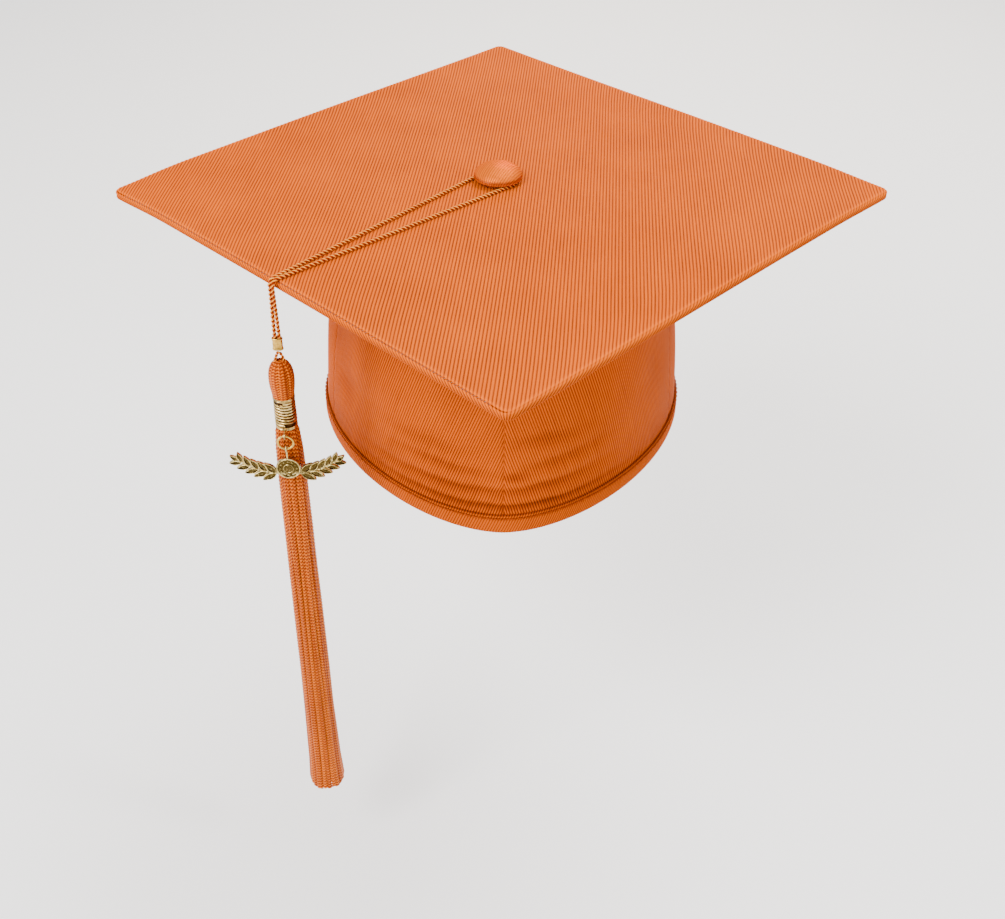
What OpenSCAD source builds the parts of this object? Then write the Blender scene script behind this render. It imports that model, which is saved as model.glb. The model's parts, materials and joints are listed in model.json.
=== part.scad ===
// Graduation cap: a stiff fabric-covered square board on a sewn crown, with a button, a looped cord
// and a tassel with a charm. The origin is the middle of the head opening, at the rim. +Z is up, the
// front peak of the crown and one corner of the board point to -Y.

/* [Board] */
// Length of one side of the square board
board_side = 241; // [225:1:250]
// Thickness of the covered board
board_t = 4.2; // [3.6:0.1:6]
// Thickness of the cover fabric
cover_t = 0.7; // [0.4:0.1:1]
// Radius of the board's corners
corner_r = 4; // [2:0.5:8]

/* [Crown] */
// Height from the rim to the top of the board
cap_h = 110; // [95:1:120]
// Half of the rim's width, side to side
rim_half_w = 84; // [78:1:92]
// Distance from the middle of the rim to its front peak
rim_front = 99; // [90:1:106]
// Distance from the middle of the rim to its back
rim_back = 96; // [88:1:104]
// Half of the crown's width where it meets the board
top_half_w = 71; // [62:1:78]
// Distance from the middle to the front of the crown's top
top_front = 82; // [72:1:90]
// Distance from the middle to the back of the crown's top
top_back = 77; // [70:1:88]
// How far the sides bulge between the rim and the top
crown_bulge = 2; // [0:0.5:5]
// Sharpness of the front peak: 2 is round, less is more pointed
front_point = 1.78; // [1.6:0.02:2]
// How far the peak dips below the sides of the rim
peak_drop = 3; // [0:0.5:8]
// How far the back of the rim rises above its sides
back_rise = 7; // [0:0.5:12]
// Thickness of the crown fabric with its seam allowances
panel_t = 1.2; // [0.8:0.1:2]
// Thickness of the stiff interlining behind the front panels
interlining_t = 0.8; // [0.5:0.1:1.5]

/* [Rim] */
// Height of the folded band round the rim
band_h = 8; // [5:0.5:12]
// Thickness of the band on each side of the crown
band_t = 1.1; // [0.8:0.1:1.6]
// Thickness of the stitching thread
thread_d = 0.5; // [0.3:0.1:0.8]
// Width of the elastic at the back
elastic_w = 8; // [6:0.5:10]
// Thickness of the elastic
elastic_t = 1; // [0.6:0.1:1.4]

/* [Button] */
// Diameter of the covered button
button_d = 22; // [19:0.5:25]
// Height of the button's dome above its rim
button_dome = 4.6; // [3:0.2:7]
// Diameter of the neck under the button
neck_d = 15; // [10:0.5:15]
// Gap between the button's rim and the board
button_gap = 2.3; // [2:0.1:4]
// Diameter of the rivet
rivet_d = 3; // [2:0.2:4]
// How far the button sits to the side of the board's middle
button_x = -2; // [-6:1:6]
// How far the button sits behind the board's middle
button_y = 5; // [-6:1:6]

/* [Tassel] */
// Diameter of the twisted cord
cord_d = 1.7; // [1.4:0.1:1.8]
// Gap between the hanging cord and the board's edge
edge_gap = 1.5; // [1.2:0.1:4]
// Length of the ferrule
ferrule_l = 5.5; // [4:0.5:8]
// Radius of the tassel head at its widest
head_r = 5.35; // [4.8:0.05:6]
// Length of the tassel head
head_l = 16; // [14:0.5:18]
// Radius of the coil wrap
coil_r = 4.5; // [4.2:0.1:5]
// Number of turns that show on the coil wrap
coil_turns = 9; // [7:1:10]
// Distance between the turns of the coil wrap
coil_pitch = 1.3; // [1.1:0.05:1.4]
// Length of the tassel's skirt
skirt_l = 229; // [150:1:235]

/* [Charm] */
// Radius of the jump ring, to the middle of its wire
ring_r = 3.2; // [3:0.1:4]
// Thickness of the jump ring's wire
ring_wire = 1.1; // [0.8:0.1:1.2]
// Half of the charm's width
charm_half_w = 22.5; // [16:0.5:24]
// Thickness of the charm
charm_t = 1.4; // [1:0.1:1.6]

/* [Hidden] */
$fn = 48;

orange = [0.88, 0.49, 0.24];
deep_orange = [0.80, 0.36, 0.12];
gold = [0.83, 0.69, 0.36];
antique_gold = [0.66, 0.58, 0.34];
card_grey = [0.72, 0.70, 0.66];
off_white = [0.93, 0.92, 0.88];

// Levels
board_top = cap_h;
board_bottom = board_top - board_t;
panel_top = board_top - cover_t;
panel_bottom = board_bottom + cover_t;
edge_wrap = 0.8;
flange_t = 0.8;
flange_w = 8;
crown_top = board_bottom - flange_t;

// Rows of the crown's sheets, as shares of its height. All the layers share them, so they lie flat on
// each other: the rim, the band's top, the elastic's bottom and top, the casing's top and the rest.
elastic_h = band_h + 1;
casing_h = elastic_h + elastic_w + 1;
interlining_top_gap = 3;
crown_rows = [
    for (h = [0, band_h, elastic_h, elastic_h + elastic_w, casing_h]) h / crown_top,
    for (k = [1:8]) mix(casing_h, crown_top - interlining_top_gap, k / 8) / crown_top,
    1,
];
elastic_row = 2;
casing_row = 4;
interlining_row = len(crown_rows) - 2;
top_row = len(crown_rows) - 1;

// Sides of the crown's panels, as angles from +X
side_seam = -20;
front_seam = -90;
back_seam = 90;
ring_steps = 72;
t_step = 360 / ring_steps;

// Button
button_at = [button_x, button_y];
shell_t = 0.6;
button_cover_t = 0.5;
rim_roll_h = 1.4;
backplate_d = 16;
backplate_t = 0.8;
rivet_head_d = 7;
rivet_head_t = 0.8;
fit_gap = 0.1;

// Cord and tassel: u runs from the button to the middle of the left front edge, w along that edge
hang_angle = 225;
hang_u = [cos(hang_angle), sin(hang_angle)];
edge_u = board_side / 2 - button_at * hang_u;
bend_r = 2.6;
drop_u = edge_u + edge_gap + cord_d / 2;
bend_u = drop_u - bend_r;
run_z = cord_d / 2 + fit_gap;
bend_z = run_z - bend_r;
strand_gap = 0.02;
pair_w = (cord_d + strand_gap) / 2;
tassel_at = [button_x + drop_u * hang_u[0], button_y + drop_u * hang_u[1]];
ferrule_z = -25; // below the board's top
ferrule_wall = 0.35;
link_d = 1.4;
link_below_ferrule = 1.2;
link_z = ferrule_z - ferrule_l - link_below_ferrule;
head_below_link = 4.8;
head_z = link_z - head_below_link;
head_bore_r = 2.9;
coil_z = head_z - head_l;
coil_band_h = 2;
coil_wire = 1.1;
coil_core_r = 3.7;
coil_groove = 0.35;
first_turn = 0.5;
coil_l = 2 * coil_band_h + (coil_turns - 1) * coil_pitch + 2 * first_turn;
skirt_z = coil_z - coil_l;
eye_r = 1.2;
eye_wire = 0.7;
stalk_root = 0.3;
stalk_tip = 0.2;
stalk_above = 0.9;
ring_y = -7.6;
ring_top = skirt_z - 0.4;
ring_z = ring_top - ring_r;
ring_bottom = ring_z - ring_r;
bail_drop = 10.2;
charm_z = ring_bottom - bail_drop;

// The cord's route on the board, as [u, w] from the bend at the edge to behind the button's neck
run_half = [
    [bend_u, pair_w], [116, 1.2], [108, 1.7], [96, 2.5], [84, 3.3], [72, 4.1], [60, 4.9], [48, 5.6],
    [36, 6.4], [24, 7.2], [12, 8], [4, 8.5], [0, 8.7], [-4.4, 7.5], [-7.5, 4.4], [-8.7, 0],
];
// The hanging strands' route, as [distance below the board's top, turn of the pair]
drop_route = [[-1.65, -45], [-5, -42], [-9, -36], [-13, -27], [-17, -16], [-21, -6], [-24.5, 0], [-27.6, 0]];
// The link's route, as [side, distance above the link's pivot]
link_half = [[2.1, -6.4], [2.1, -5.2], [1.6, -3], [0.9, -1.1], [0.5, -0.35], [0, -0.1]];

// The skirt's outline, as [radius, share of its length]
skirt_outline = [
    [4.4, 0], [5.2, 0.01], [5.8, 0.05], [6.2, 0.12], [6.5, 0.25], [6.9, 0.5], [7.4, 0.75], [8.2, 0.92],
    [9.2, 1],
];

function mix(a, b, k) = a + (b - a) * k;
function signed_pow(x, e) = sign(x) * pow(abs(x), e);
function unit(v) = v / norm(v);
function last(list) = len(list) - 1;
function reversed(list) = [for (i = [last(list):-1:0]) list[i]];

// The crown's surface: t is the angle from +X, v runs from 0 at the rim to 1 at the board, and off is
// the distance inwards from the outside.
function rim_height(t) = sin(t) < 0 ? -peak_drop * pow(sin(t), 6) : back_rise * pow(sin(t), 2);
function crown_outline(t, v, off) =
    let (e = sin(t) < 0 ? 2 / mix(front_point, 2, v) : 1)
    let (reach = sin(t) < 0 ? mix(rim_front, top_front, v) : mix(rim_back, top_back, v))
    let (bulge = crown_bulge * sin(180 * v) - off)
    [
        (mix(rim_half_w, top_half_w, v) + bulge) * signed_pow(cos(t), e),
        (reach + bulge) * signed_pow(sin(t), e),
    ];
function crown_point(t, v, off) =
    let (p = crown_outline(t, v, off))
    [p[0], p[1], mix(rim_height(t), crown_top, v)];
// A point h above the rim, or a little below it
function rim_point(t, h, off) = crown_point(t, max(h, 0) / crown_top, off) + [0, 0, min(h, 0)];

// A closed sheet between two offsets of the crown's surface, from one row of it to another
module crown_sheet(t0, t1, row0, row1, off0, off1) {
    nt = round((t1 - t0) / t_step);
    nv = row1 - row0;
    per_layer = (nt + 1) * (nv + 1);
    function at(i, j, layer) = layer * per_layer + i * (nv + 1) + j;
    points = [
        for (off = [off0, off1], i = [0:nt], j = [0:nv])
            crown_point(t0 + i * t_step, crown_rows[row0 + j], off),
    ];
    quads = [
        for (i = [0:nt - 1], j = [0:nv - 1])
            each [
                [at(i, j, 0), at(i, j + 1, 0), at(i + 1, j + 1, 0), at(i + 1, j, 0)],
                [at(i, j, 1), at(i + 1, j, 1), at(i + 1, j + 1, 1), at(i, j + 1, 1)],
            ],
        for (i = [0:nt - 1])
            each [
                [at(i, 0, 0), at(i + 1, 0, 0), at(i + 1, 0, 1), at(i, 0, 1)],
                [at(i, nv, 0), at(i, nv, 1), at(i + 1, nv, 1), at(i + 1, nv, 0)],
            ],
        for (j = [0:nv - 1])
            each [
                [at(0, j, 0), at(0, j, 1), at(0, j + 1, 1), at(0, j + 1, 0)],
                [at(nt, j, 0), at(nt, j + 1, 0), at(nt, j + 1, 1), at(nt, j, 1)],
            ],
    ];
    polyhedron(points, triangles(quads));
}

function triangles(quads) = [for (q = quads) each [[q[0], q[1], q[2]], [q[0], q[2], q[3]]]];

// A closed ring round the rim, from a section of [height, offset] points
module rim_ring(section) {
    m = len(section);
    points = [
        for (i = [0:ring_steps - 1], s = section) rim_point(i * t_step, s[0], s[1]),
    ];
    quads = [
        for (i = [0:ring_steps - 1], k = [0:m - 1])
            let (i2 = (i + 1) % ring_steps, k2 = (k + 1) % m)
            let (a = i * m + k, b = i2 * m + k, c = i2 * m + k2, d = i * m + k2)
            // Split across the same corners as the crown's sheets, which the ring lies against
            section[k2][0] > section[k][0] ? [a, b, c, d] : [b, c, d, a],
    ];
    polyhedron(points, triangles(quads));
}

// A tube along a route; side is a direction that the route never runs along
module tube(route, d, side, sides = 8) {
    n = last(route);
    points = [
        for (i = [0:n])
            let (along = unit(route[min(i + 1, n)] - route[max(i - 1, 0)]))
            let (a = unit(cross(side, along)), b = cross(along, a))
            for (k = [0:sides - 1])
                route[i] + d / 2 * (cos(360 * k / sides) * a + sin(360 * k / sides) * b),
    ];
    quads = [
        for (i = [0:n - 1], k = [0:sides - 1])
            let (k2 = (k + 1) % sides)
            [i * sides + k, (i + 1) * sides + k, (i + 1) * sides + k2, i * sides + k2],
    ];
    caps = [[for (k = [0:sides - 1]) k], [for (k = [sides - 1:-1:0]) n * sides + k]];
    polyhedron(points, concat(triangles(quads), caps));
}

module rounded_square(side, r) {
    square([side - 2 * r, side], center = true);
    square([side, side - 2 * r], center = true);
    for (x = [-1, 1], y = [-1, 1]) translate([x, y] * (side / 2 - r)) circle(r);
}

module slab(side, r, z0, z1) {
    translate([0, 0, z0]) rotate(45) linear_extrude(z1 - z0) rounded_square(side, r);
}

module at_button() {
    translate([button_x, button_y, board_top]) children();
}

module at_tassel() {
    translate([tassel_at[0], tassel_at[1], board_top]) children();
}

module rivet_hole(d) {
    at_button() translate([0, 0, -2 * board_t]) cylinder(h = 3 * board_t, d = d);
}

// ---- Board

module board_panel() {
    color(card_grey) difference() {
        slab(board_side - 2 * edge_wrap, corner_r - edge_wrap, panel_bottom, panel_top);
        rivet_hole(rivet_d);
    }
}

module board_cover_top() {
    color(orange) difference() {
        slab(board_side, corner_r, panel_bottom, board_top);
        slab(board_side - 2 * edge_wrap, corner_r - edge_wrap, panel_bottom - 1, panel_top);
        rivet_hole(rivet_d);
    }
}

module board_cover_bottom() {
    color(orange) difference() {
        slab(board_side, corner_r, board_bottom, panel_bottom);
        rivet_hole(rivet_d);
    }
}

// ---- Button

// A lens: the dome of a sphere above a rolled rim
module button_lens(r, dome, z) {
    ball = (r * r + dome * dome) / (2 * dome);
    translate([0, 0, z]) cylinder(h = rim_roll_h, r = r);
    translate([0, 0, z + rim_roll_h]) intersection() {
        translate([0, 0, dome - ball]) sphere(ball, $fn = 96);
        cylinder(h = dome + 1, r = r);
    }
}

module button_cover() {
    r = button_d / 2;
    color(orange) at_button() difference() {
        button_lens(r, button_dome, button_gap);
        button_lens(r - button_cover_t, button_dome - button_cover_t, button_gap);
    }
}

module button_shell() {
    r = button_d / 2 - button_cover_t;
    dome = button_dome - button_cover_t;
    color(card_grey) at_button() difference() {
        button_lens(r, dome, button_gap);
        translate([0, 0, button_gap - 1]) cylinder(h = rim_roll_h + 1, r = r - shell_t);
    }
}

module button_neck() {
    color(orange) at_button() difference() {
        cylinder(h = button_gap + rim_roll_h, d = neck_d);
        translate([0, 0, -1]) cylinder(h = button_gap + rim_roll_h + 2, d = rivet_d);
    }
}

module button_rivet() {
    color(gold) at_button() {
        below = board_t + backplate_t;
        translate([0, 0, -below]) cylinder(h = below + button_gap + rim_roll_h, d = rivet_d);
        translate([0, 0, -below - rivet_head_t]) cylinder(h = rivet_head_t, d = rivet_head_d);
    }
}

module button_backplate() {
    color(gold) at_button() translate([0, 0, -board_t - backplate_t]) difference() {
        cylinder(h = backplate_t, d = backplate_d);
        translate([0, 0, -1]) cylinder(h = backplate_t + 2, d = rivet_d);
    }
}

// ---- Crown

module crown_front_left() {
    color(orange) crown_sheet(180 - side_seam, 360 + front_seam, 0, top_row, 0, panel_t);
}

module crown_front_right() {
    color(orange) crown_sheet(front_seam, side_seam, 0, top_row, 0, panel_t);
}

module crown_back_left() {
    color(deep_orange) crown_sheet(back_seam, 180 - side_seam, 0, top_row, 0, panel_t);
}

module crown_back_right() {
    color(deep_orange) crown_sheet(side_seam, back_seam, 0, top_row, 0, panel_t);
}

interlining_margin = 5; // degrees

module front_interlining_left() {
    color(off_white) crown_sheet(
        180 - side_seam + interlining_margin, 360 + front_seam - interlining_margin,
        elastic_row, interlining_row, panel_t, panel_t + interlining_t);
}

module front_interlining_right() {
    color(off_white) crown_sheet(
        front_seam + interlining_margin, side_seam - interlining_margin,
        elastic_row, interlining_row, panel_t, panel_t + interlining_t);
}

module crown_flange() {
    function outline(off) = [for (i = [0:ring_steps - 1]) crown_outline(i * t_step, 1, off)];
    color(deep_orange) translate([0, 0, crown_top]) linear_extrude(flange_t) difference() {
        polygon(outline(0));
        polygon(outline(flange_w));
    }
}

// ---- Rim

stitch_inset = 1.5;
stitch_gap = 0.01;

module rim_band() {
    inside = panel_t + band_t;
    color(deep_orange) rim_ring([
        [band_h, -band_t], [-band_t, -band_t], [-band_t, inside], [band_h, inside],
        [band_h, panel_t], [0, panel_t], [0, 0], [band_h, 0],
    ]);
}

module rim_stitching() {
    r = thread_d / 2;
    stitch_h = band_h - stitch_inset;
    color(deep_orange) rim_ring([
        for (k = [0:5]) [stitch_h - r * sin(60 * k), -band_t - r - stitch_gap - r * cos(60 * k)],
    ]);
}

elastic_from = 30;
elastic_to = 150;
casing_t = 0.6;
casing_margin = 5; // degrees

module back_elastic() {
    color(off_white) crown_sheet(elastic_from, elastic_to, elastic_row, casing_row - 1,
        panel_t, panel_t + elastic_t);
}

module elastic_casing() {
    color(deep_orange) crown_sheet(elastic_from - casing_margin, elastic_to + casing_margin,
        elastic_row, casing_row, panel_t + elastic_t, panel_t + elastic_t + casing_t);
}

// ---- Loop cord

module loop_run() {
    half = [for (p = run_half) [p[0], p[1], run_z]];
    other = [for (i = [last(half) - 1:-1:0]) [half[i][0], -half[i][1], run_z]];
    color(deep_orange) at_button() rotate(hang_angle) tube(concat(half, other), cord_d, [0, 0, 1]);
}

// One of the two hanging strands; the pair turns as it goes down
module hanging_strand(way) {
    route = [for (p = drop_route) [way * pair_w * cos(p[1]), way * pair_w * sin(p[1]), p[0]]];
    color(deep_orange) at_tassel() tube(route, cord_d, [0, 1, 0]);
}

module hanging_strand_left() {
    hanging_strand(-1);
}

module hanging_strand_right() {
    hanging_strand(1);
}

// Two circles side by side and the space between them
module pair_outline(r) {
    for (x = [-pair_w, pair_w]) translate([x, 0]) circle(r);
    square([2 * pair_w, 2 * r], center = true);
}

module ferrule() {
    bore_r = cord_d / 2 + strand_gap;
    color(gold) at_tassel() translate([0, 0, ferrule_z - ferrule_l])
        linear_extrude(ferrule_l) difference() {
            pair_outline(bore_r + ferrule_wall);
            pair_outline(bore_r);
        }
}

// ---- Tassel

module link_loop() {
    half = [for (p = link_half) [p[0], 0, link_z + p[1]]];
    other = [for (i = [last(half) - 1:-1:0]) [-half[i][0], 0, half[i][2]]];
    color(deep_orange) at_tassel() tube(concat(half, other), link_d, [0, 1, 0]);
}

module tassel_head() {
    top = head_z;
    bottom = head_z - head_l;
    color(orange) at_tassel() rotate_extrude() polygon([
        [head_bore_r, top], [head_bore_r + 0.6, top], [head_r - 0.8, top - 1.5],
        [head_r - 0.15, top - 4], [head_r, top - 7], [head_r - 0.05, top - 10],
        [head_r - 0.35, top - 13], [head_r - 0.8, bottom], [head_bore_r, bottom],
    ]);
}

module head_core() {
    top = link_z + link_half[0][1];
    color(off_white) at_tassel() translate([0, 0, coil_z]) cylinder(h = top - coil_z, r = head_bore_r);
}

module coil_wrap() {
    color(gold) at_tassel() {
        difference() {
            rotate_extrude() {
                translate([coil_core_r, skirt_z]) square([coil_r - coil_core_r - coil_groove, coil_l]);
                for (z = [skirt_z, coil_z - coil_band_h])
                    translate([coil_core_r, z]) square([coil_r - coil_core_r, coil_band_h]);
                for (k = [0:coil_turns - 1])
                    translate([coil_r - coil_wire / 2, coil_z - coil_band_h - first_turn - k * coil_pitch])
                        circle(coil_wire / 2);
            }
            translate([0, 0, skirt_z - 1]) cylinder(h = coil_l + 2, r = coil_core_r);
        }
        // The wire's tail: a stalk and the eye that the jump ring hangs in
        translate([0, -coil_r + stalk_root, ring_top + stalk_above]) rotate([90, 0, 0])
            cylinder(h = stalk_root - ring_y - eye_r - coil_r + stalk_tip, d = eye_wire);
        translate([0, ring_y, ring_top]) rotate([0, 90, 0]) rotate_extrude()
            translate([eye_r, 0]) circle(eye_wire / 2);
    }
}

module bound_neck() {
    color(off_white) at_tassel() translate([0, 0, skirt_z]) cylinder(h = coil_l, r = coil_core_r);
}

module tassel_skirt() {
    side = [for (p = skirt_outline) [p[0], skirt_z - p[1] * skirt_l]];
    color(orange) at_tassel() rotate_extrude()
        polygon(concat([[0, skirt_z]], side, [[0, skirt_z - skirt_l]]));
}

// ---- Charm

module jump_ring() {
    color(gold) at_tassel() translate([0, ring_y, ring_z]) rotate([90, 0, 0])
        rotate_extrude() translate([ring_r, 0]) circle(ring_wire / 2);
}

// A leaf: what two equal circles share, with its base at the origin and its tip along +X
module leaf(l, w) {
    r = (l * l + w * w) / (4 * w);
    translate([l / 2, 0]) intersection() {
        translate([0, r - w / 2]) circle(r);
        translate([0, w / 2 - r]) circle(r);
    }
}

stem_r = 34;
stem_w = 1.3;
leaf_l = 7.6;
leaf_w = 3.4;
leaf_pairs = 5;
medallion_r = 5.2;
bail_r = 1.25;
bail_wire = 0.8;
sprig_tip_gap = 3.2;
sprig_dip = 3.6;
leaf_spread = 38;
tip_leaf = [5, 2.2];

// One laurel sprig, curving up from the medallion along +X
module sprig() {
    reach = charm_half_w - sprig_tip_gap;
    span = asin(reach / stem_r);
    translate([0, stem_r - sprig_dip]) {
        intersection() {
            difference() {
                circle(stem_r, $fn = 120);
                circle(stem_r - stem_w, $fn = 120);
            }
            translate([0, -2 * stem_r]) square([reach, 2 * stem_r]);
        }
        for (k = [1:leaf_pairs], side = [-1, 1])
            rotate(span * (k + 0.35) / (leaf_pairs + 0.6)) translate([0, -stem_r + stem_w / 2])
                rotate(side * leaf_spread) leaf(leaf_l - 0.45 * k, leaf_w - 0.2 * k);
        rotate(span) translate([0, -stem_r + stem_w / 2]) leaf(tip_leaf[0], tip_leaf[1]);
    }
}

module charm() {
    color(antique_gold) at_tassel() {
        translate([0, ring_y + charm_t / 2, charm_z]) rotate([90, 0, 0]) {
            linear_extrude(charm_t) {
                circle(medallion_r);
                sprig();
                mirror([1, 0]) sprig();
                translate([-bail_wire / 2, 0]) square([bail_wire, bail_drop - bail_r]);
            }
        }
        translate([0, ring_y, ring_bottom]) rotate([0, 90, 0]) rotate_extrude()
            translate([bail_r, 0]) circle(bail_wire / 2);
    }
}

board_panel();
board_cover_top();
board_cover_bottom();
button_cover();
button_shell();
button_neck();
button_rivet();
button_backplate();
crown_front_left();
crown_front_right();
crown_back_left();
crown_back_right();
front_interlining_left();
front_interlining_right();
crown_flange();
rim_band();
rim_stitching();
back_elastic();
elastic_casing();
loop_run();
hanging_strand_left();
hanging_strand_right();
ferrule();
link_loop();
tassel_head();
head_core();
coil_wrap();
bound_neck();
tassel_skirt();
jump_ring();
charm();
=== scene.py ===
"""Looks for the graduation cap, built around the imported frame. Metres, in the CAD's own frame."""
import json
import math

import bpy
import numpy as np
from mathutils import Matrix, Vector


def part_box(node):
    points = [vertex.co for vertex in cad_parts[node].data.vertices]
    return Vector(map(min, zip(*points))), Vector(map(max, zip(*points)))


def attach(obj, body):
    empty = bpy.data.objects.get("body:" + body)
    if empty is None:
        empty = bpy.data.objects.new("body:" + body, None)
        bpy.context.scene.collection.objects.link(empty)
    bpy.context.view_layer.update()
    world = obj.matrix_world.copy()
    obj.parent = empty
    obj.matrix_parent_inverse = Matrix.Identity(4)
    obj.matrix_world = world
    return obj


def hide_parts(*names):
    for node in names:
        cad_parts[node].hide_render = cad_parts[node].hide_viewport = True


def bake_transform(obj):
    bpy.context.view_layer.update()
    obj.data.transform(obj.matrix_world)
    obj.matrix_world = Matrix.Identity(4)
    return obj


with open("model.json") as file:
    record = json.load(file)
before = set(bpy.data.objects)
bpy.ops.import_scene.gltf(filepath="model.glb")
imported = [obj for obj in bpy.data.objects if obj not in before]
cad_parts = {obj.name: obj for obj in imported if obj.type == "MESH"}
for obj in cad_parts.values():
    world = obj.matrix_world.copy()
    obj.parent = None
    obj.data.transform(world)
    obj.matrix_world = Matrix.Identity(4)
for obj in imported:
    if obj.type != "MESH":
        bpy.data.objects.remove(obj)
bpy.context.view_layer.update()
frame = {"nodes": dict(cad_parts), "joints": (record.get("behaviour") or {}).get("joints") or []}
MM = 0.001
rng = np.random.default_rng(26)

# ---- Sizes from the frame, in millimetres
joints = {j["name"]: np.array(j["pos_m"]) / MM for j in frame["joints"]}


def box_mm(node):
    low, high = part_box(node)
    return np.array(low) / MM, np.array(high) / MM


def heights_mm(node):
    low, high = box_mm(node)
    return low[2], high[2]


def round_mm(node):
    """The radius, bottom and top of a round node."""
    low, high = box_mm(node)
    return (high[0] - low[0]) / 2, low[2], high[2]


board_high = box_mm("board_cover_top")[1]
BOARD_TOP = board_high[2]
BOARD_BOTTOM = heights_mm("board_cover_bottom")[0]
BUTTON = joints["tassel_turn"]
TASSEL = joints["tassel_sway"][:2]
CORNER_R, EDGE_WRAP = 4.0, 0.8
# A rounded corner pulls the tip in by (sqrt 2 - 1) radii
BOARD_HALF = board_high[0] / math.sqrt(2) + CORNER_R * (1 - 1 / math.sqrt(2))
CROWN_TOP = heights_mm("crown_front_left")[1]
COIL_LOW, COIL_HIGH = heights_mm("bound_neck")
HEAD_HIGH = heights_mm("tassel_head")[1]
SKIRT_LOW = heights_mm("tassel_skirt")[0]
FLOOR_Z = SKIRT_LOW * MM - 0.06  # metres

# The crown's outline, as part.scad has it
RIM_HALF_W, RIM_FRONT, RIM_BACK = 84.0, 99.0, 96.0
TOP_HALF_W, TOP_FRONT, TOP_BACK = 71.0, 82.0, 77.0
CROWN_BULGE, FRONT_POINT, PEAK_DROP, BACK_RISE = 2.0, 1.78, 3.0, 7.0
PANEL_T, INTERLINING_T, BAND_H, BAND_T = 1.2, 0.8, 8.0, 1.1
SIDE_SEAM, FRONT_SEAM, BACK_SEAM = -20.0, -90.0, 90.0

# The camera, fitted to the board's corners
CAMERA_AT = (-0.00676, -0.52807, 0.36851)
CAMERA_AZ, CAMERA_DOWN, CAMERA_ROLL, CAMERA_LENS = 0.832, 37.79, 0.489, 47.26


def mix(a, b, k):
    return a + (b - a) * k


def smooth(x):
    x = np.clip(x, 0, 1)
    return x * x * (3 - 2 * x)


def bump_at(x, centre, width):
    return np.exp(-(((x - centre) / width) ** 2))


def around(n):
    return np.arange(n) * 2 * math.pi / n


def lengths(line):
    """How far along a line each of its points lies."""
    return np.r_[0, np.cumsum(np.linalg.norm(np.diff(line, axis=0), axis=1))]


def polar(centre, radius, turn, z):
    """Points about a vertical axis."""
    x, y = centre[0] + radius * np.cos(turn), centre[1] + radius * np.sin(turn)
    return np.stack(np.broadcast_arrays(x, y, z), -1)


def weave_of(*values):
    """The three cloth coordinates, one row per point."""
    return np.stack(np.broadcast_arrays(*values), -1).reshape(-1, 3)


def even_weave(points, raised):
    return np.tile([raised, 0, 0.5], (len(points), 1))


# ---- Meshes from grids of points
def grid_faces(n, m, start=0, wrap_i=False, wrap_j=False):
    """The quads of an n by m grid of vertices, row after row."""
    i, j = np.meshgrid(np.arange(n if wrap_i else n - 1), np.arange(m if wrap_j else m - 1),
                       indexing="ij")
    i, j = i.ravel(), j.ravel()
    i2, j2 = (i + 1) % n, (j + 1) % m
    return np.stack([i * m + j, i2 * m + j, i2 * m + j2, i * m + j2], 1) + start


def welded(points, faces):
    """Merges the vertices at one place, and drops the faces that this leaves with no area."""
    _, first, into = np.unique(np.round(points, 5), axis=0, return_index=True,
                               return_inverse=True)
    into = into.ravel()
    out = []
    for face in faces:
        kept = [into[v] for v in face]
        kept = [v for k, v in enumerate(kept) if v != kept[k - 1]]
        if len(set(kept)) == len(kept) > 2:
            out.append(kept)
    return points[first], out, first


def piece(name, points, faces, material, body, slot, weave=None, weld=False, replaces=(),
          flip=False, sharp=None):
    """A mesh piece from points in millimetres. weave is its cloth coordinates, one per point."""
    points, faces = points.reshape(-1, 3), [list(f) for f in faces]
    if weld:
        points, faces, first = welded(points, faces)
        weave = weave[first] if weave is not None else None
    if flip:
        faces = [f[::-1] for f in faces]
    mesh = bpy.data.meshes.new(name)
    mesh.from_pydata((points * MM).tolist(), [], faces)
    if weave is not None:
        attribute = mesh.attributes.new("weave", "FLOAT_VECTOR", "POINT")
        attribute.data.foreach_set("vector", np.asarray(weave, np.float32).ravel())
    mesh.polygons.foreach_set("use_smooth", [True] * len(faces))
    mesh.materials.append(material)
    mesh.update()
    o = bpy.data.objects.new(name, mesh)
    bpy.context.scene.collection.objects.link(o)
    if sharp is not None:
        mesh.set_sharp_from_angle(angle=math.radians(sharp))
    if body:
        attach(o, body)
    if replaces:
        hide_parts(*replaces)
    return o


def shell_faces(n, m, wrap_i=False):
    """The faces of a closed sheet whose outer grid of points comes first and inner grid after."""
    inner = grid_faces(n, m, n * m, wrap_i)[:, ::-1]
    i = np.arange(n if wrap_i else n - 1)
    i2 = (i + 1) % n
    k = n * m
    sides = [np.stack([i * m, k + i * m, k + i2 * m, i2 * m], 1),
             np.stack([i * m + m - 1, i2 * m + m - 1, k + i2 * m + m - 1, k + i * m + m - 1], 1)]
    if not wrap_i:
        j = np.arange(m - 1)
        e = (n - 1) * m
        sides += [np.stack([j, j + 1, k + j + 1, k + j], 1),
                  np.stack([e + j, k + e + j, k + e + j + 1, e + j + 1], 1)]
    return np.concatenate([grid_faces(n, m, 0, wrap_i), inner, *sides])


def sheet(name, outside, inside, weave, material, slot, wrap_i=False, **settings):
    """A closed sheet on the cap from two grids of points, with one grid of cloth coordinates."""
    return piece(name, np.concatenate([outside.reshape(-1, 3), inside.reshape(-1, 3)]),
                 shell_faces(*outside.shape[:2], wrap_i), material, "cap", slot,
                 weave=np.concatenate([weave, weave]), **settings)


def rod_faces(rings, sides):
    """The faces of a row of rings, with both ends closed."""
    last = (rings - 1) * sides
    return [*grid_faces(rings, sides, 0, False, True)[:, ::-1].tolist(), list(range(sides)),
            [last + k for k in range(sides)][::-1]]


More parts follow.
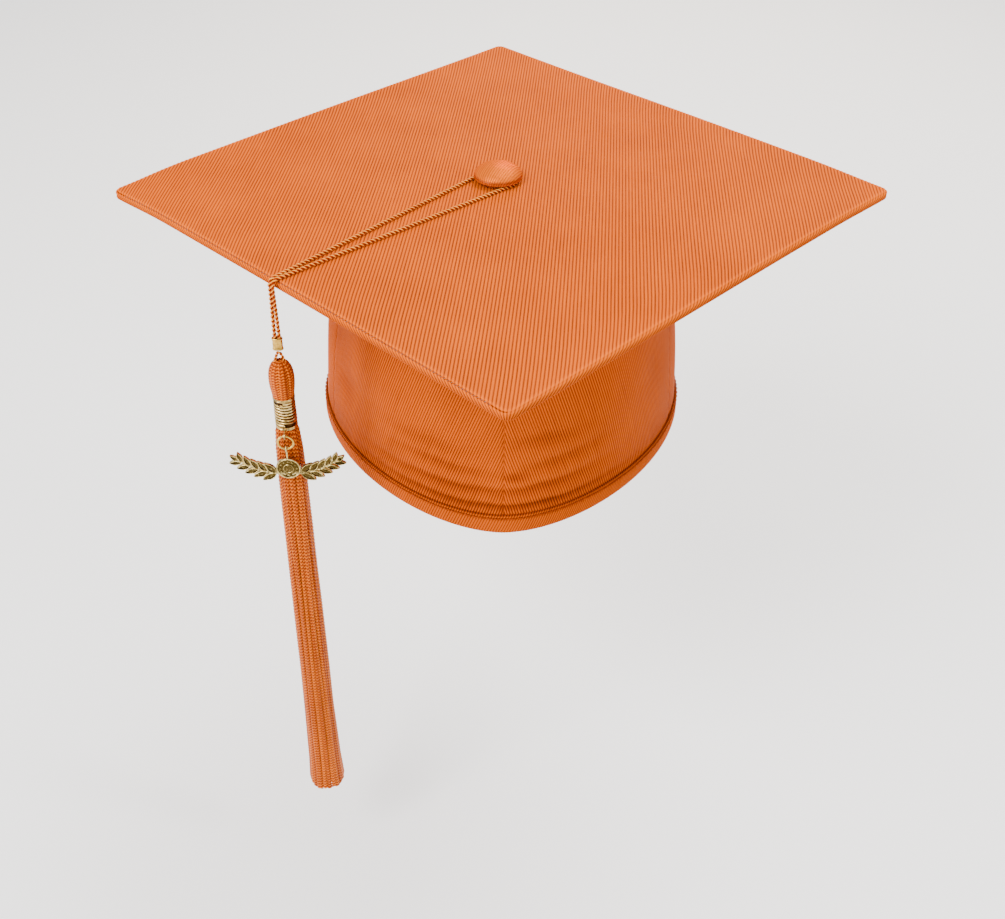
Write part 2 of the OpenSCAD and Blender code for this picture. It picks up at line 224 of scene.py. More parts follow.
def frames_along(path, side):
    """Two directions across a path at each of its points, carried along it without twisting."""
    along = np.gradient(path, axis=0)
    along /= np.linalg.norm(along, axis=1)[:, None]
    a = np.empty_like(path)
    current = np.array(side, float)
    for k, t in enumerate(along):
        current = current - (current @ t) * t
        current /= np.linalg.norm(current)
        a[k] = current
    return a, np.cross(along, a)


def tube(path, side, radius, sides):
    """Points and faces of a tube. radius(k, turn) gives the radius at the path's points."""
    a, b = frames_along(path, side)
    turn = around(sides)
    r = radius(np.arange(len(path))[:, None], turn[None, :])
    points = (path[:, None] + (r * np.cos(turn))[..., None] * a[:, None]
              + (r * np.sin(turn))[..., None] * b[:, None])
    return points.reshape(-1, 3), rod_faces(len(path), sides)


def round_wire(d):
    return lambda k, turn: d / 2 + 0 * k + 0 * turn


def resampled(points, step):
    """A smooth line through the points, with its own points a step apart."""
    points = np.asarray(points, float)
    ends = np.vstack([2 * points[0] - points[1], points, 2 * points[-1] - points[-2]])
    fine = []
    for p0, p1, p2, p3 in zip(ends, ends[1:], ends[2:], ends[3:]):
        k = np.linspace(0, 1, 24, endpoint=False)[:, None]
        fine.append(0.5 * (2 * p1 + (p2 - p0) * k + (2 * p0 - 5 * p1 + 4 * p2 - p3) * k * k
                           + (3 * p1 - p0 - 3 * p2 + p3) * k ** 3))
    line = np.vstack(fine + [points[-1:]])
    far = lengths(line)
    at = np.linspace(0, far[-1], max(2, round(far[-1] / step) + 1))
    return np.stack([np.interp(at, far, line[:, i]) for i in range(3)], 1)


def joined(parts):
    """Several (points, faces, weave) as one."""
    points, faces, weave, start = [], [], [], 0
    for p, f, w in parts:
        points.append(p)
        weave.append(w)
        faces += [[v + start for v in face] for face in f]
        start += len(p)
    return np.vstack(points), faces, np.vstack(weave)


def lathe(profile, centre, sides):
    """A closed profile of (radius, height) points turned round an upright axis."""
    radius, height = np.array(profile, float).T
    points = polar(centre, radius[None], around(sides)[:, None], centre[2] + height[None])
    return points.reshape(-1, 3), grid_faces(sides, len(profile), 0, True, True).tolist()


# ---- Materials
class Nodes:
    """A short way to wire a material's nodes."""

    def __init__(self, name):
        self.material = bpy.data.materials.new(name)
        self.material.use_nodes = True
        self.tree = self.material.node_tree
        self.shader = self.tree.nodes["Principled BSDF"]

    def put(self, value, socket):
        if isinstance(value, bpy.types.NodeSocket):
            self.tree.links.new(value, socket)
        else:
            socket.default_value = value

    def new(self, kind, inputs=(), **settings):
        n = self.tree.nodes.new(kind)
        for key, value in settings.items():
            setattr(n, key, value)
        for key, value in dict(inputs).items():
            self.put(value, n.inputs[key])
        return n

    def maths(self, operation, a, b=0.0, clamp=False):
        return self.new("ShaderNodeMath", {0: a, 1: b}, operation=operation,
                        use_clamp=clamp).outputs[0]

    def total(self, *terms):
        """The sum of values, each given with its weight."""
        first, *rest = [self.maths("MULTIPLY", value, weight) for value, weight in terms]
        for term in rest:
            first = self.maths("ADD", first, term)
        return first

    def noise(self, scale, detail=3.0, roughness=0.5, vector=None):
        return self.new("ShaderNodeTexNoise", {
            "Vector": self.place() if vector is None else vector, "Scale": scale,
            "Detail": detail, "Roughness": roughness}).outputs[0]

    def ramp(self, factor, stops):
        n = self.new("ShaderNodeValToRGB", {"Fac": factor})
        elements = n.color_ramp.elements
        while len(elements) < len(stops):
            elements.new(0.5)
        for element, (place, colour) in zip(elements, stops):
            element.position = place
            element.color = (*colour, 1) if len(colour) == 3 else colour
        return n.outputs[0]

    def spread(self, factor, low, high, to_low, to_high):
        return self.new("ShaderNodeMapRange", {
            "Value": factor, "From Min": low, "From Max": high, "To Min": to_low,
            "To Max": to_high}).outputs[0]

    def rough(self, noise, low, high):
        return self.spread(noise, 0.3, 0.7, low, high)

    def weave(self):
        """The cloth coordinates of a piece, as (x, y, z) and each alone."""
        n = self.new("ShaderNodeAttribute", attribute_name="weave")
        split = self.new("ShaderNodeSeparateXYZ", {0: n.outputs["Vector"]})
        return n.outputs["Vector"], *split.outputs

    def place(self):
        return self.new("ShaderNodeTexCoord").outputs["Object"]

    def bump(self, height, distance, strength):
        return self.new("ShaderNodeBump", {"Height": height, "Distance": distance,
                                           "Strength": strength}).outputs[0]

    def finish(self, **inputs):
        for key, value in inputs.items():
            self.put(value, self.shader.inputs[key.replace("_", " ")])
        return self.material


# Dyed rayon keeps its colour in its sheen and its highlights
SHEEN = (1.0, 0.18, 0.008, 1)
GLOSS = (1.0, 0.34, 0.08, 1)


def ribbed_cloth(name, deep, mid, light, pitch, contrast=1.0, roughness=0.5, sheen=0.1,
                 gloss=0.03, satin=0.0):
    """Faille: round ribs of packed threads, their crests painted lighter and their grooves darker
    as highlight and shade. weave holds millimetres across and along the ribs, and painted shade at
    seams, creases and fold bottoms, a negative value being a painted highlight."""
    n = Nodes(name)
    vector, across, along, painted_shading = n.weave()
    phase = n.maths("MULTIPLY", across, math.pi / pitch)
    crest = n.maths("ABSOLUTE", n.maths("COSINE", phase))
    rib_number = n.maths("FLOOR", n.maths("ADD", n.maths("DIVIDE", across, pitch), 0.5))
    thread = n.maths("SINE", n.maths("ADD", n.maths("MULTIPLY", along, 2 * math.pi / 0.42),
                                     n.maths("MULTIPLY", rib_number, 2.4)))
    streaks = n.new("ShaderNodeMapping", {"Vector": vector, "Scale": (2.2, 0.05, 0.0)}).outputs[0]
    slub = n.noise(1.0, 3.0, 0.6, streaks)
    mottle, cloud = n.noise(34.0, 4.0, 0.55), n.noise(9.0, 2.0)
    # Crests painted light and grooves dark are painted highlight and shade; slub, mottle, cloud and
    # thread are the cloth's own tone; painted_shading darkens, or lightens where negative
    lit = n.total((crest, 0.42 * contrast), (slub, 0.45), (mottle, 0.22), (cloud, 0.14),
                  (thread, 0.05), (painted_shading, -0.6))
    middle = 0.41 + 0.27 * contrast
    shade = n.spread(lit, middle - 0.45, middle + 0.45, 0.0, 1.0)
    tint = n.ramp(shade, [(0.0, deep), (0.45, mid), (1.0, light)])
    fuzz = n.noise(2600.0, 2.0, 0.6)
    height = n.total((thread, 0.35), (slub, 0.8), (crest, 0.6), (fuzz, 0.5))
    return n.finish(Base_Color=tint, Roughness=n.rough(slub, roughness - 0.06, roughness + 0.1),
                    Sheen_Weight=sheen, Sheen_Roughness=0.45, Sheen_Tint=SHEEN,
                    Specular_IOR_Level=gloss, IOR=1.25, Specular_Tint=GLOSS, Metallic=satin,
                    Normal=n.bump(height, 0.00006, 0.6))


def silky_yarn(name, deep, mid, light, roughness=0.34, middle=0.5):
    """Rayon yarn. weave holds how proud the surface is, millimetres along it, and its own tone.
    Proud parts are painted lighter and hollows darker, a painted highlight and shade.
    """
    n = Nodes(name)
    _, proud, along, own = n.weave()
    stretched = n.new("ShaderNodeMapping", {"Vector": n.place(),
                                            "Scale": (1.0, 1.0, 0.12)}).outputs[0]
    fibres, drift = n.noise(2400.0, 3.0, 0.65, stretched), n.noise(60.0)
    # proud paints highlight on crests and shade in hollows; fibres, drift and own are the yarn's
    # own tone
    shade = n.total((proud, 0.74), (fibres, 0.20), (drift, 0.18), (own, 0.20))
    tint = n.ramp(n.spread(shade, 0.15, 1.05, 0.0, 1.0),
                  [(0.0, deep), (middle, mid), (1.0, light)])
    ticks = n.maths("SINE", n.maths("MULTIPLY", along, 2 * math.pi / 0.3))
    height = n.total((fibres, 1.0), (ticks, 0.12))
    return n.finish(Base_Color=tint,
                    Roughness=n.rough(fibres, roughness - 0.08, roughness + 0.12),
                    Sheen_Weight=0.15, Sheen_Roughness=0.4, Sheen_Tint=SHEEN,
                    Specular_IOR_Level=0.3, IOR=1.25, Specular_Tint=GLOSS,
                    Normal=n.bump(height, 0.00008, 0.7))


def plain_weave(name, dark, pale, pitch, roughness=0.85):
    """Flat crossed threads a pitch apart, in millimetres, laid over the piece's own place."""
    n = Nodes(name)
    x, y, z = n.new("ShaderNodeSeparateXYZ", {0: n.place()}).outputs
    turn = 2 * math.pi / (pitch * MM)
    a = n.maths("SINE", n.maths("MULTIPLY", n.maths("ADD", x, y), turn))
    b = n.maths("SINE", n.maths("MULTIPLY", z, turn))
    cross = n.maths("MULTIPLY", a, b)
    fibres, drift = n.noise(900.0, 3.0, 0.6), n.noise(40.0)
    shade = n.total((cross, 0.12), (fibres, 0.5), (drift, 0.4))
    height = n.total((cross, 0.5), (fibres, 1.0))
    return n.finish(Base_Color=n.ramp(n.spread(shade, 0.15, 0.8, 0.0, 1.0),
                                      [(0.0, dark), (1.0, pale)]),
                    Roughness=n.rough(fibres, roughness - 0.08, roughness + 0.08),
                    Sheen_Weight=0.2, Sheen_Roughness=0.5, Specular_IOR_Level=0.25,
                    Normal=n.bump(height, 0.0001, 0.6))


def worn_gold(name, deep, mid, light, roughness, stipple=0.0, even=0.0):
    """Plated metal with fine wear; a cast field can be stippled, and darker where it is low: patina
    in the charm's hollows, painted shade between the coil's turns. even is how little that darkness
    varies from grain to grain."""
    n = Nodes(name)
    fine, broad = n.noise(700.0, 4.0, 0.6), n.noise(90.0)
    low = n.spread(n.total((fine, 0.5), (broad, 0.5)), 0.35, 0.68, 0.0, 1.0)
    height = n.maths("MULTIPLY", fine, 0.3)
    if stipple:
        _, raised, _, _ = n.weave()
        grains = n.new("ShaderNodeTexVoronoi", {"Vector": n.place(), "Scale": 3400.0}).outputs[0]
        field = n.maths("SUBTRACT", 1.0, raised)
        dark = n.maths("MULTIPLY", field, n.spread(grains, 0.05, 0.6, even, 1.0))
        low = n.maths("SUBTRACT", low, n.maths("MULTIPLY", dark, 0.95), clamp=True)
        height = n.maths("ADD", height, n.maths("MULTIPLY", n.maths("MULTIPLY", grains, field),
                                                stipple))
    return n.finish(Base_Color=n.ramp(low, [(0.0, deep), (0.5, mid), (1.0, light)]),
                    Metallic=1.0, Roughness=n.rough(fine, roughness, roughness + 0.16),
                    Normal=n.bump(height, 0.00006, 0.5))


def moulded(name, dark, pale):
    """Satin plastic as it comes from a mould."""
    n = Nodes(name)
    grain, drift = n.noise(1500.0, 3.0, 0.55), n.noise(50.0)
    shade = n.total((grain, 0.5), (drift, 0.5))
    return n.finish(Base_Color=n.ramp(n.spread(shade, 0.35, 0.65, 0.0, 1.0),
                                      [(0.0, dark), (1.0, pale)]),
                    Roughness=n.rough(grain, 0.4, 0.6),
                    Specular_IOR_Level=0.4, Normal=n.bump(grain, 0.00005, 0.5))


BOARD_PITCH, CROWN_PITCH = 1.39, 1.2
# For each cloth and yarn below, the light colour is mostly painted highlight on crests and the deep
# colour mostly painted shade in grooves, creases and folds
CLOTH = ribbed_cloth("board_cloth", (0.13, 0.016, 0.0003), (0.42, 0.062, 0.0002),
                     (0.68, 0.122, 0.0005), BOARD_PITCH, contrast=1.8)
BUTTON_CLOTH = ribbed_cloth("button_cloth", (0.24, 0.036, 0.0005), (0.52, 0.088, 0.001),
                            (0.78, 0.17, 0.004), BOARD_PITCH, roughness=0.3, sheen=0.0,
                            gloss=0.0, satin=0.35)
CROWN_CLOTH = ribbed_cloth("crown_cloth", (0.085, 0.010, 0.0003), (0.36, 0.050, 0.0002),
                           (0.62, 0.104, 0.0004), CROWN_PITCH, contrast=1.7, roughness=0.4)
BAND_CLOTH = ribbed_cloth("band_cloth", (0.08, 0.010, 0.0003), (0.34, 0.048, 0.0002),
                          (0.56, 0.094, 0.0004), CROWN_PITCH, contrast=1.5, roughness=0.45)
YARN = silky_yarn("skirt_yarn", (0.040, 0.003, 0.0002), (0.27, 0.034, 0.0005),
                  (0.80, 0.190, 0.010), middle=0.55)
# The cord's pale yellow light colour is painted highlight on its plies' crests, and its deep colour
# painted shade between them
CORD = silky_yarn("cord_yarn", (0.050, 0.003, 0.0002), (0.32, 0.030, 0.0003),
                  (1.0, 0.42, 0.04), roughness=0.28, middle=0.72)
THREAD = silky_yarn("thread", (0.06, 0.007, 0.0005), (0.20, 0.025, 0.001), (0.42, 0.060, 0.002),
                    roughness=0.45)
LINING = plain_weave("interlining", (0.42, 0.40, 0.35), (0.68, 0.66, 0.60), 0.9)
ELASTIC = plain_weave("elastic", (0.46, 0.45, 0.41), (0.74, 0.73, 0.70), 1.3, 0.7)
CORE = plain_weave("core_yarn", (0.36, 0.26, 0.15), (0.62, 0.50, 0.34), 0.7)
CARD = plain_weave("board_pulp", (0.20, 0.18, 0.15), (0.40, 0.37, 0.32), 1.7, 0.9)
GOLD = worn_gold("gold", (0.34, 0.17, 0.02), (0.62, 0.37, 0.07), (0.90, 0.66, 0.20), 0.14)
# The coil's near-black deep colour is painted shade between its turns of wire
COIL_GOLD = worn_gold("coil_gold", (0.035, 0.012, 0.002), (0.60, 0.39, 0.12),
                      (1.0, 0.80, 0.40), 0.16, stipple=0.2, even=0.85)
CHARM_GOLD = worn_gold("charm_gold", (0.06, 0.035, 0.006), (0.60, 0.45, 0.16),
                       (1.0, 0.86, 0.44), 0.2, stipple=0.8)
SHELL = moulded("button_shell", (0.12, 0.115, 0.11), (0.23, 0.22, 0.21))


# ---- Camera, light and floor
def look():
    """The photograph's camera."""
    camera = bpy.data.objects.new("camera", bpy.data.cameras.new("camera"))
    bpy.context.scene.collection.objects.link(camera)
    az, down, roll = (math.radians(x) for x in (CAMERA_AZ, CAMERA_DOWN, CAMERA_ROLL))
    ahead = Vector((math.sin(az) * math.cos(down), math.cos(az) * math.cos(down),
                    -math.sin(down)))
    right = Vector((math.cos(az), -math.sin(az), 0))
    up = right.cross(ahead)
    right, up = (right * math.cos(roll) + up * math.sin(roll),
                 up * math.cos(roll) - right * math.sin(roll))
    turned = Matrix((right, up, -ahead)).transposed().to_4x4()
    camera.matrix_world = Matrix.Translation(CAMERA_AT) @ turned
    camera.data.lens = CAMERA_LENS
    camera.data.sensor_width = 36.0
    camera.data.clip_start, camera.data.clip_end = 0.01, 20.0
    bpy.context.scene.camera = camera


def soft_light(name, place, target, size, power, tint=(1, 1, 1)):
    lamp = bpy.data.lights.new(name, "AREA")
    lamp.shape, lamp.size, lamp.energy, lamp.color = "DISK", size, power, tint
    o = bpy.data.objects.new(name, lamp)
    bpy.context.scene.collection.objects.link(o)
    o.location = place
    o.rotation_euler = (Vector(target) - Vector(place)).to_track_quat("-Z", "Y").to_euler()


def studio():
    world = bpy.data.worlds.new("studio")
    world.use_nodes = True
    world.node_tree.nodes["Background"].inputs[0].default_value = (1, 1, 1, 1)
    world.node_tree.nodes["Background"].inputs[1].default_value = 1.15
    bpy.context.scene.world = world
    soft_light("key", (-0.7, -0.9, 1.2), (0, 0, 0.05), 0.7, 30.0)
    soft_light("front", (-1.3, -0.9, 0.25), (0, 0, 0.04), 0.5, 15.0)
    soft_light("edge", (1.2, -0.5, 0.9), (0.08, -0.08, 0.10), 0.3, 8.0)
    soft_light("top", (0.5, 0.5, 1.5), (0, 0, 0.1), 1.0, 24.0)
    soft_light("back", (0.32, 1.52, 0.82), (0, 0, 0.1), 0.5, 18.0, (1.0, 0.82, 0.64))
    n = Nodes("floor")
    drift = n.noise(3.0, 2.0)
    n.finish(Base_Color=n.ramp(drift, [(0.0, (0.97, 0.97, 0.97)), (1.0, (0.99, 0.99, 0.99))]),
             Roughness=0.9, Specular_IOR_Level=0.1)
    mesh = bpy.data.meshes.new("floor")
    mesh.from_pydata([(-6, -6, FLOOR_Z), (6, -6, FLOOR_Z), (6, 6, FLOOR_Z), (-6, 6, FLOOR_Z)],
                     [], [(0, 1, 2, 3)])
    mesh.materials.append(n.material)
    floor = bpy.data.objects.new("floor", mesh)
    bpy.context.scene.collection.objects.link(floor)


look()

# ---- The loop cord: up from the ferrule, over the edge, round the button's neck and back
CORD_D = 1.7
PLY_OFFSET, PLY_R, PLY_LAY = 0.42, 0.46, 4.0
HANG = math.radians(225)
U = np.array([math.cos(HANG), math.sin(HANG)])
W = np.array([-math.sin(HANG), math.cos(HANG)])
RUN_Z = CORD_D / 2 + 0.1
PAIR_W = CORD_D / 2 + 0.01
DROP_U = float((TASSEL - BUTTON[:2]) @ U)
BEND_R = 2.6
BEND_U, BEND_Z = DROP_U - BEND_R, RUN_Z - BEND_R
RUN_HALF = [(116, 1.2), (108, 1.7), (96, 2.5), (84, 3.3), (72, 4.1), (60, 4.9), (48, 5.6),
            (36, 6.4), (24, 7.2), (12, 8), (4, 8.5), (0, 8.7), (-4.4, 7.5), (-7.5, 4.4),
            (-8.7, 0)]
DROP_ROUTE = [(-27.6, 0), (-24.5, 0), (-21, -6), (-17, -16), (-13, -27), (-9, -36), (-5, -42)]


def cord_half(way):
    """Half of the cord's route, from inside the ferrule to behind the button's neck."""
    route = []
    for z, turn in DROP_ROUTE:
        a = math.radians(turn)
        route.append([TASSEL[0] + way * PAIR_W * math.cos(a),
                      TASSEL[1] + way * PAIR_W * math.sin(a), BOARD_TOP + z])
    side = 1 if W @ np.array([1, -1]) * way > 0 else -1
    for turn in (0, 30, 60, 90):
        a = math.radians(turn)
        u = BEND_U + BEND_R * math.cos(a)
        at = BUTTON[:2] + u * U + side * PAIR_W * W
        route.append([*at, BOARD_TOP + BEND_Z + BEND_R * math.sin(a)])
    for u, w in RUN_HALF:
        route.append([*(BUTTON[:2] + u * U + side * w * W), BOARD_TOP + RUN_Z])
    return route


def ply_radius(turn, phase):
    """The outline of two plies side by side, turned by phase."""
    c, s = np.cos(turn - phase), np.sin(turn - phase)
    return PLY_OFFSET * np.abs(c) + np.sqrt(np.maximum(PLY_R ** 2 - (PLY_OFFSET * s) ** 2, 0.01))


def twisted(path, side, scale, lay, sides=20):
    """A two-ply cord along a path, with how proud each point is."""
    far = lengths(path)

    def radius(k, turn):
        return scale * ply_radius(turn, 2 * math.pi * far[k] / lay)

    points, faces = tube(path, side, radius, sides)
    # How proud each point is: the cord's material paints the plies' crests as highlight and the
    # hollows between them as shade
    r = ply_radius(around(sides)[None], (2 * math.pi * far / lay)[:, None])
    low, high = PLY_R * 0.45, PLY_OFFSET + PLY_R
    return points, faces, weave_of(np.clip((r - low) / (high - low), 0, 1), far[:, None], 0.5)


def loop_cord():
    first, second = cord_half(-1), cord_half(1)
    path = resampled(first + second[-2::-1], 0.36)
    points, faces, weave = twisted(path, (1, 0, 0), 1.0, PLY_LAY)
    cord = piece("loop_cord", points, faces, CORD, None, "cord", weave=weave,
                 replaces=("loop_run", "hanging_strand_left", "hanging_strand_right"))
    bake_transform(cord)
    return cord, path


def ferrule():
    """A gold tube pressed flat round the two strands, with rolled ends and two crimps."""
    low, high = heights_mm("ferrule")
    heights = [0, 0.15, 0.5, 0.8, 1.6, 2.0, 2.4, 3.1, 3.5, 3.9, 4.7, 5.0, 5.35, 5.5]
    proud = [0.0, 0.14, 0.16, 0.02, 0, -0.12, 0, 0, -0.12, 0, 0.02, 0.16, 0.14, 0]
    scale = (high - low) / heights[-1]
    turn = np.linspace(0, 2 * math.pi, 40, endpoint=False)
    rows = []
    wall = [(h, CORD_D / 2 + 0.37 + p) for h, p in zip(heights, proud)]
    wall += [(h, CORD_D / 2 + 0.05) for h in (heights[-1], heights[-1] / 2, 0)]
    for h, r in wall:
        x = PAIR_W * np.sign(np.round(np.cos(turn), 6)) + r * np.cos(turn)
        rows.append(np.stack([TASSEL[0] + x, TASSEL[1] + r * np.sin(turn),
                              np.full(turn.shape, low + h * scale)], 1))
    return piece("ferrule_tube", np.stack(rows), grid_faces(len(rows), len(turn), 0, True, True),
                 GOLD, "cord_drop", "gold", replaces=("ferrule",), flip=True)


ferrule_tube = ferrule()
cord, cord_path = loop_cord()
studio()


# ---- The board
RIB_A = math.radians(85)
RIB_ALONG = np.array([math.cos(RIB_A), math.sin(RIB_A)])
RIB_ACROSS = np.array([math.sin(RIB_A), -math.cos(RIB_A)])
RIB_DEPTH = 0.24
RIB_FAN = 0.0001  # how much the ribs open towards the front, per square millimetre


def rib(across, pitch, depth):
    """How far the cloth lies below its rib crests; a whole number of pitches is a crest."""
    return depth * (np.abs(np.cos(math.pi * across / pitch)) ** 0.8 - 1)


def square_distance(p, half, r):
    """Distance outside a square with rounded corners that stands on one corner."""
    q = np.abs(np.stack([p[..., 0] + p[..., 1], p[..., 0] - p[..., 1]], -1) / math.sqrt(2))
    q = q - (half - r)
    return np.linalg.norm(np.maximum(q, 0), axis=-1) + np.minimum(q.max(-1), 0) - r


def outward(p, half, r):
    """The direction away from that square, and the nearest point on its outline."""
    step = 0.01
    d = square_distance(p, half, r)
    g = np.stack([square_distance(p + aside, half, r) - square_distance(p - aside, half, r)
                  for aside in ([step, 0], [0, step])], -1)
    g /= np.maximum(np.linalg.norm(g, axis=-1, keepdims=True), 1e-9)
    return g, p - g * d[..., None]


def board_warp(x, y):
    """The board is not quite flat: its side corners droop a little."""
    left = smooth((-x - 138) / 32) ** 1.5
    right = smooth((x - 135) / 35) ** 1.5
    return -1.6 * left - 0.9 * right + 0.25 * np.sin(x / 47 + 1.1) * np.cos(y / 39)


def wrapped_square(name, half, r_edge, wall, tuck, z, sign, replaces, line=0.0):
    """Ribbed cloth pulled over a square's edge: flat, round the edge, down the wall and under."""
    core, core_r = half - r_edge, max(CORNER_R - r_edge, 0.5)
    beyond = math.pi * r_edge + wall + tuck
    reach = (core + beyond) * math.sqrt(2)
    step = BOARD_PITCH / 5 if sign > 0 else BOARD_PITCH / 4
    count = int(reach / step)
    across = np.arange(-count, count + 1) * step
    b = np.linspace(-reach - 5, reach + 5, 900)
    flat = across[:, None, None] * RIB_ACROSS + b[None, :, None] * RIB_ALONG
    d = square_distance(flat, core, core_r)
    arc = math.pi * r_edge / 2
    over_edge = (0.85, 0.7, 0.57, 0.45, 0.33, 0.2, 0.1, 0)
    targets = np.array([beyond, beyond - tuck / 2, *(arc + wall + arc * k for k in (1, 0.6, 0.3)),
                        arc + wall, arc, *(arc * k for k in over_edge),
                        -0.5, -1.2, -2.6, -6.0, -14.0])
    rows = np.empty((len(across), 2 * len(targets) + 14))
    for k in range(len(across)):
        low = int(d[k].argmin())
        near = np.interp(targets, d[k, :low + 1][::-1], b[:low + 1][::-1]) if low else b[:1]
        far = np.interp(targets[::-1], d[k, low:], b[low:])
        middle = np.linspace(near[-1], far[0], 16)[1:-1]
        rows[k] = np.concatenate([near, middle, far])
    p = across[:, None, None] * RIB_ACROSS + rows[..., None] * RIB_ALONG
    p = p + (-RIB_FAN * across[:, None] * rows)[..., None] * RIB_ACROSS * smooth(
        -square_distance(p, core, core_r) / 12)[..., None]
    d = square_distance(p, core, core_r)
    away, nearest = outward(p, core, core_r)
    top = d <= 0
    angle = np.clip(d / r_edge, 0, math.pi / 2) + np.clip((d - arc - wall) / r_edge, 0,
                                                          math.pi / 2)
    crease = line * bump_at(d, 0.45 * arc, 0.3) * (0.35 + 0.65 * (p[..., 0] < 0))
    lift = rib(across, BOARD_PITCH, RIB_DEPTH)[:, None] - crease
    out = r_edge * np.sin(angle) - np.maximum(d - 2 * arc - wall, 0)
    down = r_edge * (1 - np.cos(angle)) + np.clip(d - arc, 0, wall)
    flat_p = np.where(top[..., None], p, nearest + away * out[..., None])
    height = np.where(top, 0.0, -down)
    flat_p = flat_p + away * (lift * np.sin(angle))[..., None] * ~top[..., None]
    height = height + lift * np.where(top, 1.0, np.cos(angle))
    points = np.concatenate([flat_p, (z + sign * height)[..., None]], -1)
    points[..., 2] += board_warp(points[..., 0], points[..., 1])
    # Painted highlight along the rounded edge, and painted shade in the real crease near the top
    # edge, down the wall and underneath
    stretched = 0.6 * bump_at(d, 0.35 * arc, 1.1)
    painted_shading = np.clip(2.8 * crease + 0.3 * smooth((d - arc) / 1.5) - stretched, -0.6, 1)
    piece(name, points, grid_faces(*rows.shape), CLOTH, "cap", "ribbed_fabric",
          weave=weave_of(across[:, None], rows, painted_shading), weld=True, flip=sign < 0,
          replaces=replaces)


EDGE_R, TUCK, UNDER_INSET, UNDER_DOWN = 1.3, 6.0, 3.0, 0.35
wrapped_square("board_top_cloth", BOARD_HALF, EDGE_R, BOARD_TOP - BOARD_BOTTOM - 2 * EDGE_R, TUCK,
               BOARD_TOP, 1, ("board_cover_top",), line=0.5)
wrapped_square("board_under_cloth", BOARD_HALF - UNDER_INSET, 0.3, 0.0, 0.6,
               BOARD_BOTTOM - UNDER_DOWN, -1, ("board_cover_bottom",))


def panel():
    """The stiff pulp board inside the cloth, bent as the cloth is."""
    half, n = BOARD_HALF - EDGE_WRAP, 60
    k = np.linspace(-half, half, n)
    a, b = np.meshgrid(k, k, indexing="ij")
    # The corners are cut round by drawing them in
    corner = np.maximum(np.abs(a) + np.abs(b) - 2 * half + 2 * CORNER_R, 0) / (2 * CORNER_R)
    a, b = a * (1 - 0.012 * corner), b * (1 - 0.012 * corner)
    x, y = (a - b) / math.sqrt(2), (a + b) / math.sqrt(2)
    bottom, top = (np.stack([x, y, z + board_warp(x, y)], -1) for z in heights_mm("board_panel"))
    piece("board_pulp", np.concatenate([top, bottom]), shell_faces(n, n), CARD, "cap",
          "board_core", replaces=("board_panel",), sharp=40)


panel()


# ---- The crown
def signed_pow(x, e):
    return np.sign(x) * np.abs(x) ** e


def crown_outline(t, v, off):
    """The crown seen from above: t is the angle from +X, v is 0 at the rim and 1 at the board."""
    c, s = np.cos(np.radians(t)), np.sin(np.radians(t))
    e = np.where(s < 0, 2 / mix(FRONT_POINT, 2, v), 1.0)
    reach = np.where(s < 0, mix(RIM_FRONT, TOP_FRONT, v), mix(RIM_BACK, TOP_BACK, v))
    bulge = CROWN_BULGE * np.sin(math.pi * v) - off
    return np.stack([(mix(RIM_HALF_W, TOP_HALF_W, v) + bulge) * signed_pow(c, e),
                     (reach + bulge) * signed_pow(s, e)], -1)


def rim_height(t):
    s = np.sin(np.radians(t))
    return np.where(s < 0, -PEAK_DROP * s ** 6, BACK_RISE * s ** 2)


def crown_point(t, v, off):
    low = rim_height(t)
    return np.concatenate([crown_outline(t, v, off), (low + (CROWN_TOP - low) * v)[..., None]], -1)


def gathers(t, h):
    """The small folds that the elastic draws in the cloth at the back."""
    a = np.mod(t, 360)
    back = smooth((a - 34) / 14) * smooth((146 - a) / 14)
    wave = np.sin(np.radians(a) * 13.7 * 2) + 0.6 * np.sin(np.radians(a) * 21.3 * 2 + 1.3)
    return 0.55 * back * wave * np.exp(-np.maximum(h - 8, 0) / 26)


# Folds of the front panels: height, slope, half width and depth of each, then its place round the
# crown in degrees from the front seam and its half length
FRONT_FOLDS = [
    (12.0, 0.01, 1.5, -0.9, -18, 26), (15.5, 0.01, 1.9, 0.9, -18, 24),
    (19.5, 0.02, 1.8, -1.2, -17, 20), (24.0, 0.01, 2.4, 0.9, -14, 20),
    (28.5, -0.04, 2.2, -0.8, -20, 14), (37.0, -0.05, 3.6, -0.4, -26, 14),
    (11.8, 0.01, 1.4, -0.9, 16, 22), (15.5, 0.04, 1.9, 1.0, 14, 18),
    (20.0, 0.10, 2.2, -1.5, 15, 14), (25.5, 0.12, 2.4, 1.0, 16, 13),
    (31.0, 0.16, 2.8, -1.3, 19, 13), (37.5, 0.05, 3.0, 0.8, 14, 10),
    (43.0, -0.05, 3.0, -0.9, 14, 10), (26.5, 0.00, 1.6, -0.8, 4, 4),
    (38.0, 0.3, 7.0, -1.3, -60, 7), (60.0, 0.5, 12.0, -1.3, -66, 8),
    (52.0, 0.0, 22.0, 1.0, -38, 14), (47.0, 0.0, 16.0, -0.8, 58, 7),
    (50.0, 0.0, 20.0, 0.8, 34, 12),
]


